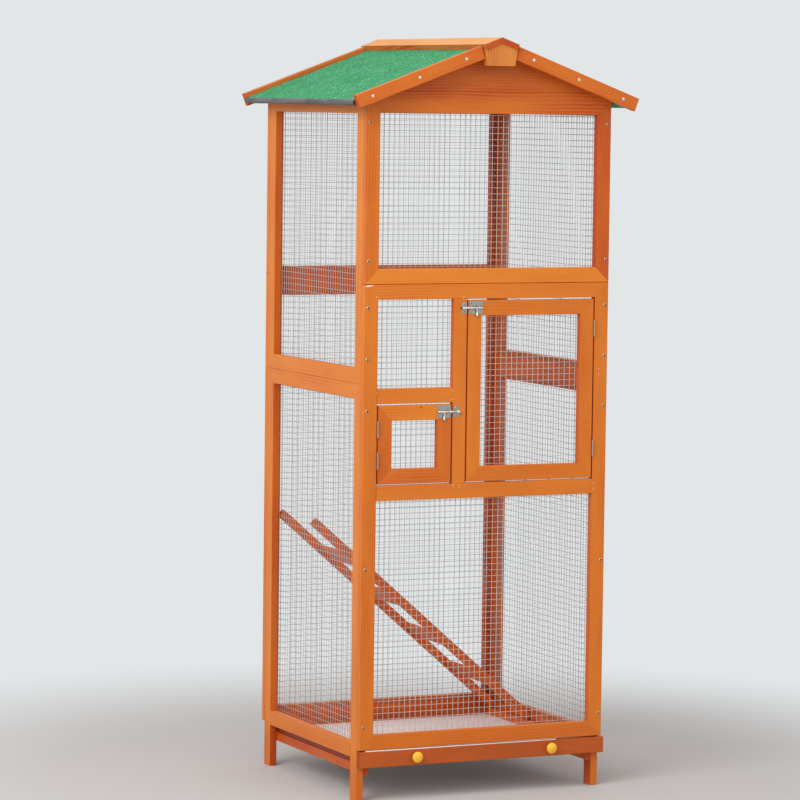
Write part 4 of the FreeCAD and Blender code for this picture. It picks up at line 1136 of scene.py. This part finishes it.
crowns = [((x, FRONT_Y - STAPLE_RADIUS * 0.5, z), (0, 0, 1) if stands else (1, 0, 0))
          for x, z, stands in JOINT_STAPLES]
staples(crowns, "joint_staples", "cage", staple_wire)
scatter(turned("brad", (0, 0, 0), (0, 0, 1), BRAD_PROFILE, BRAD_SIDES),
        [((x, FRONT_Y, z), (0, -1, 0)) for x, z in BRADS], "mitre_brads", "cage", staple_wire)

# %% Chip
CHIP_MIDDLE = (-0.2825, FRONT_Y, 1.1166)
CHIP_RUN = (0.995, 0, 0.0999)
CHIP_PROFILE = [(-0.0100, 0.0002), (-0.0070, 0.0009), (0.0, 0.0013), (0.0050, 0.0010), (0.0098, 0.0002)]
CHIP_SIDES = 8


def raw_wood():
    finish = Finish("raw_wood")
    x, y, z = finish.place()
    grain = finish.noise(x * 40, y * 900, z * 900)
    return finish.surface(finish.mix(grain, (0.98, 0.97, 0.93), (0.95, 0.90, 0.80)), 0.6)


chip = turned("raw_chip", CHIP_MIDDLE, CHIP_RUN, CHIP_PROFILE, CHIP_SIDES)
settle(chip, "cage", raw_wood())

# %% Staples of the nets
STAPLE_STEP = 0.085
STAPLE_INSET = 0.005
STAPLE_LEAN = 0.7


def even_places(low, high):
    """Even places between two ends, about one staple step apart."""
    count = max(2, round((high - low) / STAPLE_STEP))
    return [low + (high - low) * (number + 0.5) / count for number in range(count)]


def net_staples(node):
    low, high, thin, level = net_box(node)
    inner = min(low[thin], high[thin], key=abs)
    places = []
    for run, side in ((level, 2), (2, level)):
        for way in even_places(low[run], high[run]):
            for edge in (low[side] + STAPLE_INSET, high[side] - STAPLE_INSET):
                lean = on_axes({run: 1, side: random.uniform(-STAPLE_LEAN, STAPLE_LEAN)})
                places.append((on_axes({thin: inner, run: way, side: edge}), lean))
    staples(places, node + "_staples", body_of_node[node], plate_zinc)


for node in NETS:
    net_staples(node)

# %% [markdown]
# ## The tray
#
# The floor of the drawer is a pale galvanised sheet that bounces the orange of the wood around it.
# Its front edge shows as a white line above the front board.

# %% Tray
def tray_finish():
    finish = Finish("tray_sheet")
    x, y, z = finish.place()
    cloud = finish.noise(x, y, z, detail=3, scale=9.0)
    spangle = finish.noise(x, y, z, scale=160.0)
    colour = finish.mix(cloud, (0.98, 0.95, 0.94), (0.92, 0.88, 0.87))
    return finish.surface(colour, 0.42 + (spangle - 0.5) * 0.2, spangle, depth=0.00006)


tray_sheet = tray_finish()
dress(nodes["drawer_floor"], tray_sheet)

front_low, front_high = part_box("drawer_front")
EDGE_LEFT, EDGE_RIGHT = -0.279, 0.182
EDGE_HEIGHT = 0.0016
EDGE_THICK = 0.0006
EDGE_INSET = 0.001
EDGE_DEPTH = 0.013
EDGE_FALL_SHARE, EDGE_TAPER_SHARE = 0.6, 0.7
edge = start_piece("plane", "tray_edge", (EDGE_RIGHT - EDGE_LEFT, EDGE_HEIGHT, 1), size=1,
                   location=((EDGE_LEFT + EDGE_RIGHT) / 2, front_low.y + EDGE_INSET,
                             front_high.z + EDGE_HEIGHT / 2), rotation=(math.pi / 2, 0, 0))
open_mesh()
pick(edge, "edges", lambda middle, side: middle.z > front_high.z + EDGE_HEIGHT * 0.9)
extrude((0, EDGE_DEPTH, -EDGE_HEIGHT * EDGE_FALL_SHARE))
pick(edge, "verts", lambda place, vert: place.x > EDGE_RIGHT - TINY)
lift(-EDGE_HEIGHT * EDGE_TAPER_SHARE)
leave_mesh()
modify(edge, "SOLIDIFY", thickness=EDGE_THICK, offset=0)
finish_modifiers(edge)
settle(edge, "drawer", tray_sheet)

# %% [markdown]
# ## Floor and light
#
# The photograph has even outdoor shade: light from everywhere, a little more from the left and
# above. The world gives the even part. Its colour as the camera sees it is the pale backdrop, and
# is set apart from its light with Light Path. The floor is a disc that fades into that backdrop
# before its edge, so that it looks the same from every side.

# %% Stage
BACKDROP = (0.76, 0.79, 0.80)
FLOOR_COLOUR = (0.56, 0.54, 0.53)
AMBIENT = 0.63
FLOOR_RADIUS = 3.0

FLOOR_BELOW = 0.0002
LAMPS_AIM = Vector((0, 0, 0.85))
# Each row: name, place, size in metres, power in watts
LAMPS = [("left_light", (-4.2, -2.6, 3.6), 3.2, 178), ("front_light", (1.2, -5.0, 2.8), 3.0, 20),
         ("top_light", (-0.8, -1.2, 4.8), 3.0, 45)]

studio = Finish("studio", "worlds")
rays = studio.add("LightPath").outputs
straight = studio.math("MAXIMUM", rays["Is Camera Ray"], rays["Is Transmission Ray"])
seen = straight.larger(rays["Is Glossy Ray"])
ambient = studio.add("Background", {"Color": (1, 1, 1, 1), "Strength": AMBIENT})
backdrop = studio.add("Background", {"Color": opaque(BACKDROP), "Strength": 1})
mixed = studio.add("MixShader", {0: seen, 1: ambient.outputs[0], 2: backdrop.outputs[0]})
studio.add("OutputWorld", {0: mixed.outputs[0]})
bpy.context.scene.world = studio.block


def floor_finish():
    finish = Finish("studio_floor")
    x, y, z = finish.place()
    distance = (x ** 2 + y ** 2) ** 0.5
    fade = distance.step(FLOOR_RADIUS * 0.25, FLOOR_RADIUS * 0.6)
    matt = finish.add("BsdfDiffuse", {"Color": opaque(FLOOR_COLOUR)})
    clear = finish.add("BsdfTransparent")
    both = finish.add("MixShader", {0: fade, 1: matt.outputs[0], 2: clear.outputs[0]})
    finish.add("OutputMaterial", {0: both.outputs[0]})
    return finish.block


floor = start_piece("circle", "studio_floor", vertices=64, radius=FLOOR_RADIUS, fill_type="NGON",
                    location=(0, 0, -FLOOR_BELOW))
floor.data.materials.append(floor_finish())

for name, place, size, power in LAMPS:
    lamp = bpy.data.lights.new(name, "AREA")
    lamp.size = size
    lamp.energy = power
    light = bpy.data.objects.new(name, lamp)
    bpy.context.scene.collection.objects.link(light)
    light.location = place
    light.rotation_euler = (LAMPS_AIM - Vector(place)).to_track_quat("-Z", "Y").to_euler()
print("stage ready with", len(LAMPS), "lamps")
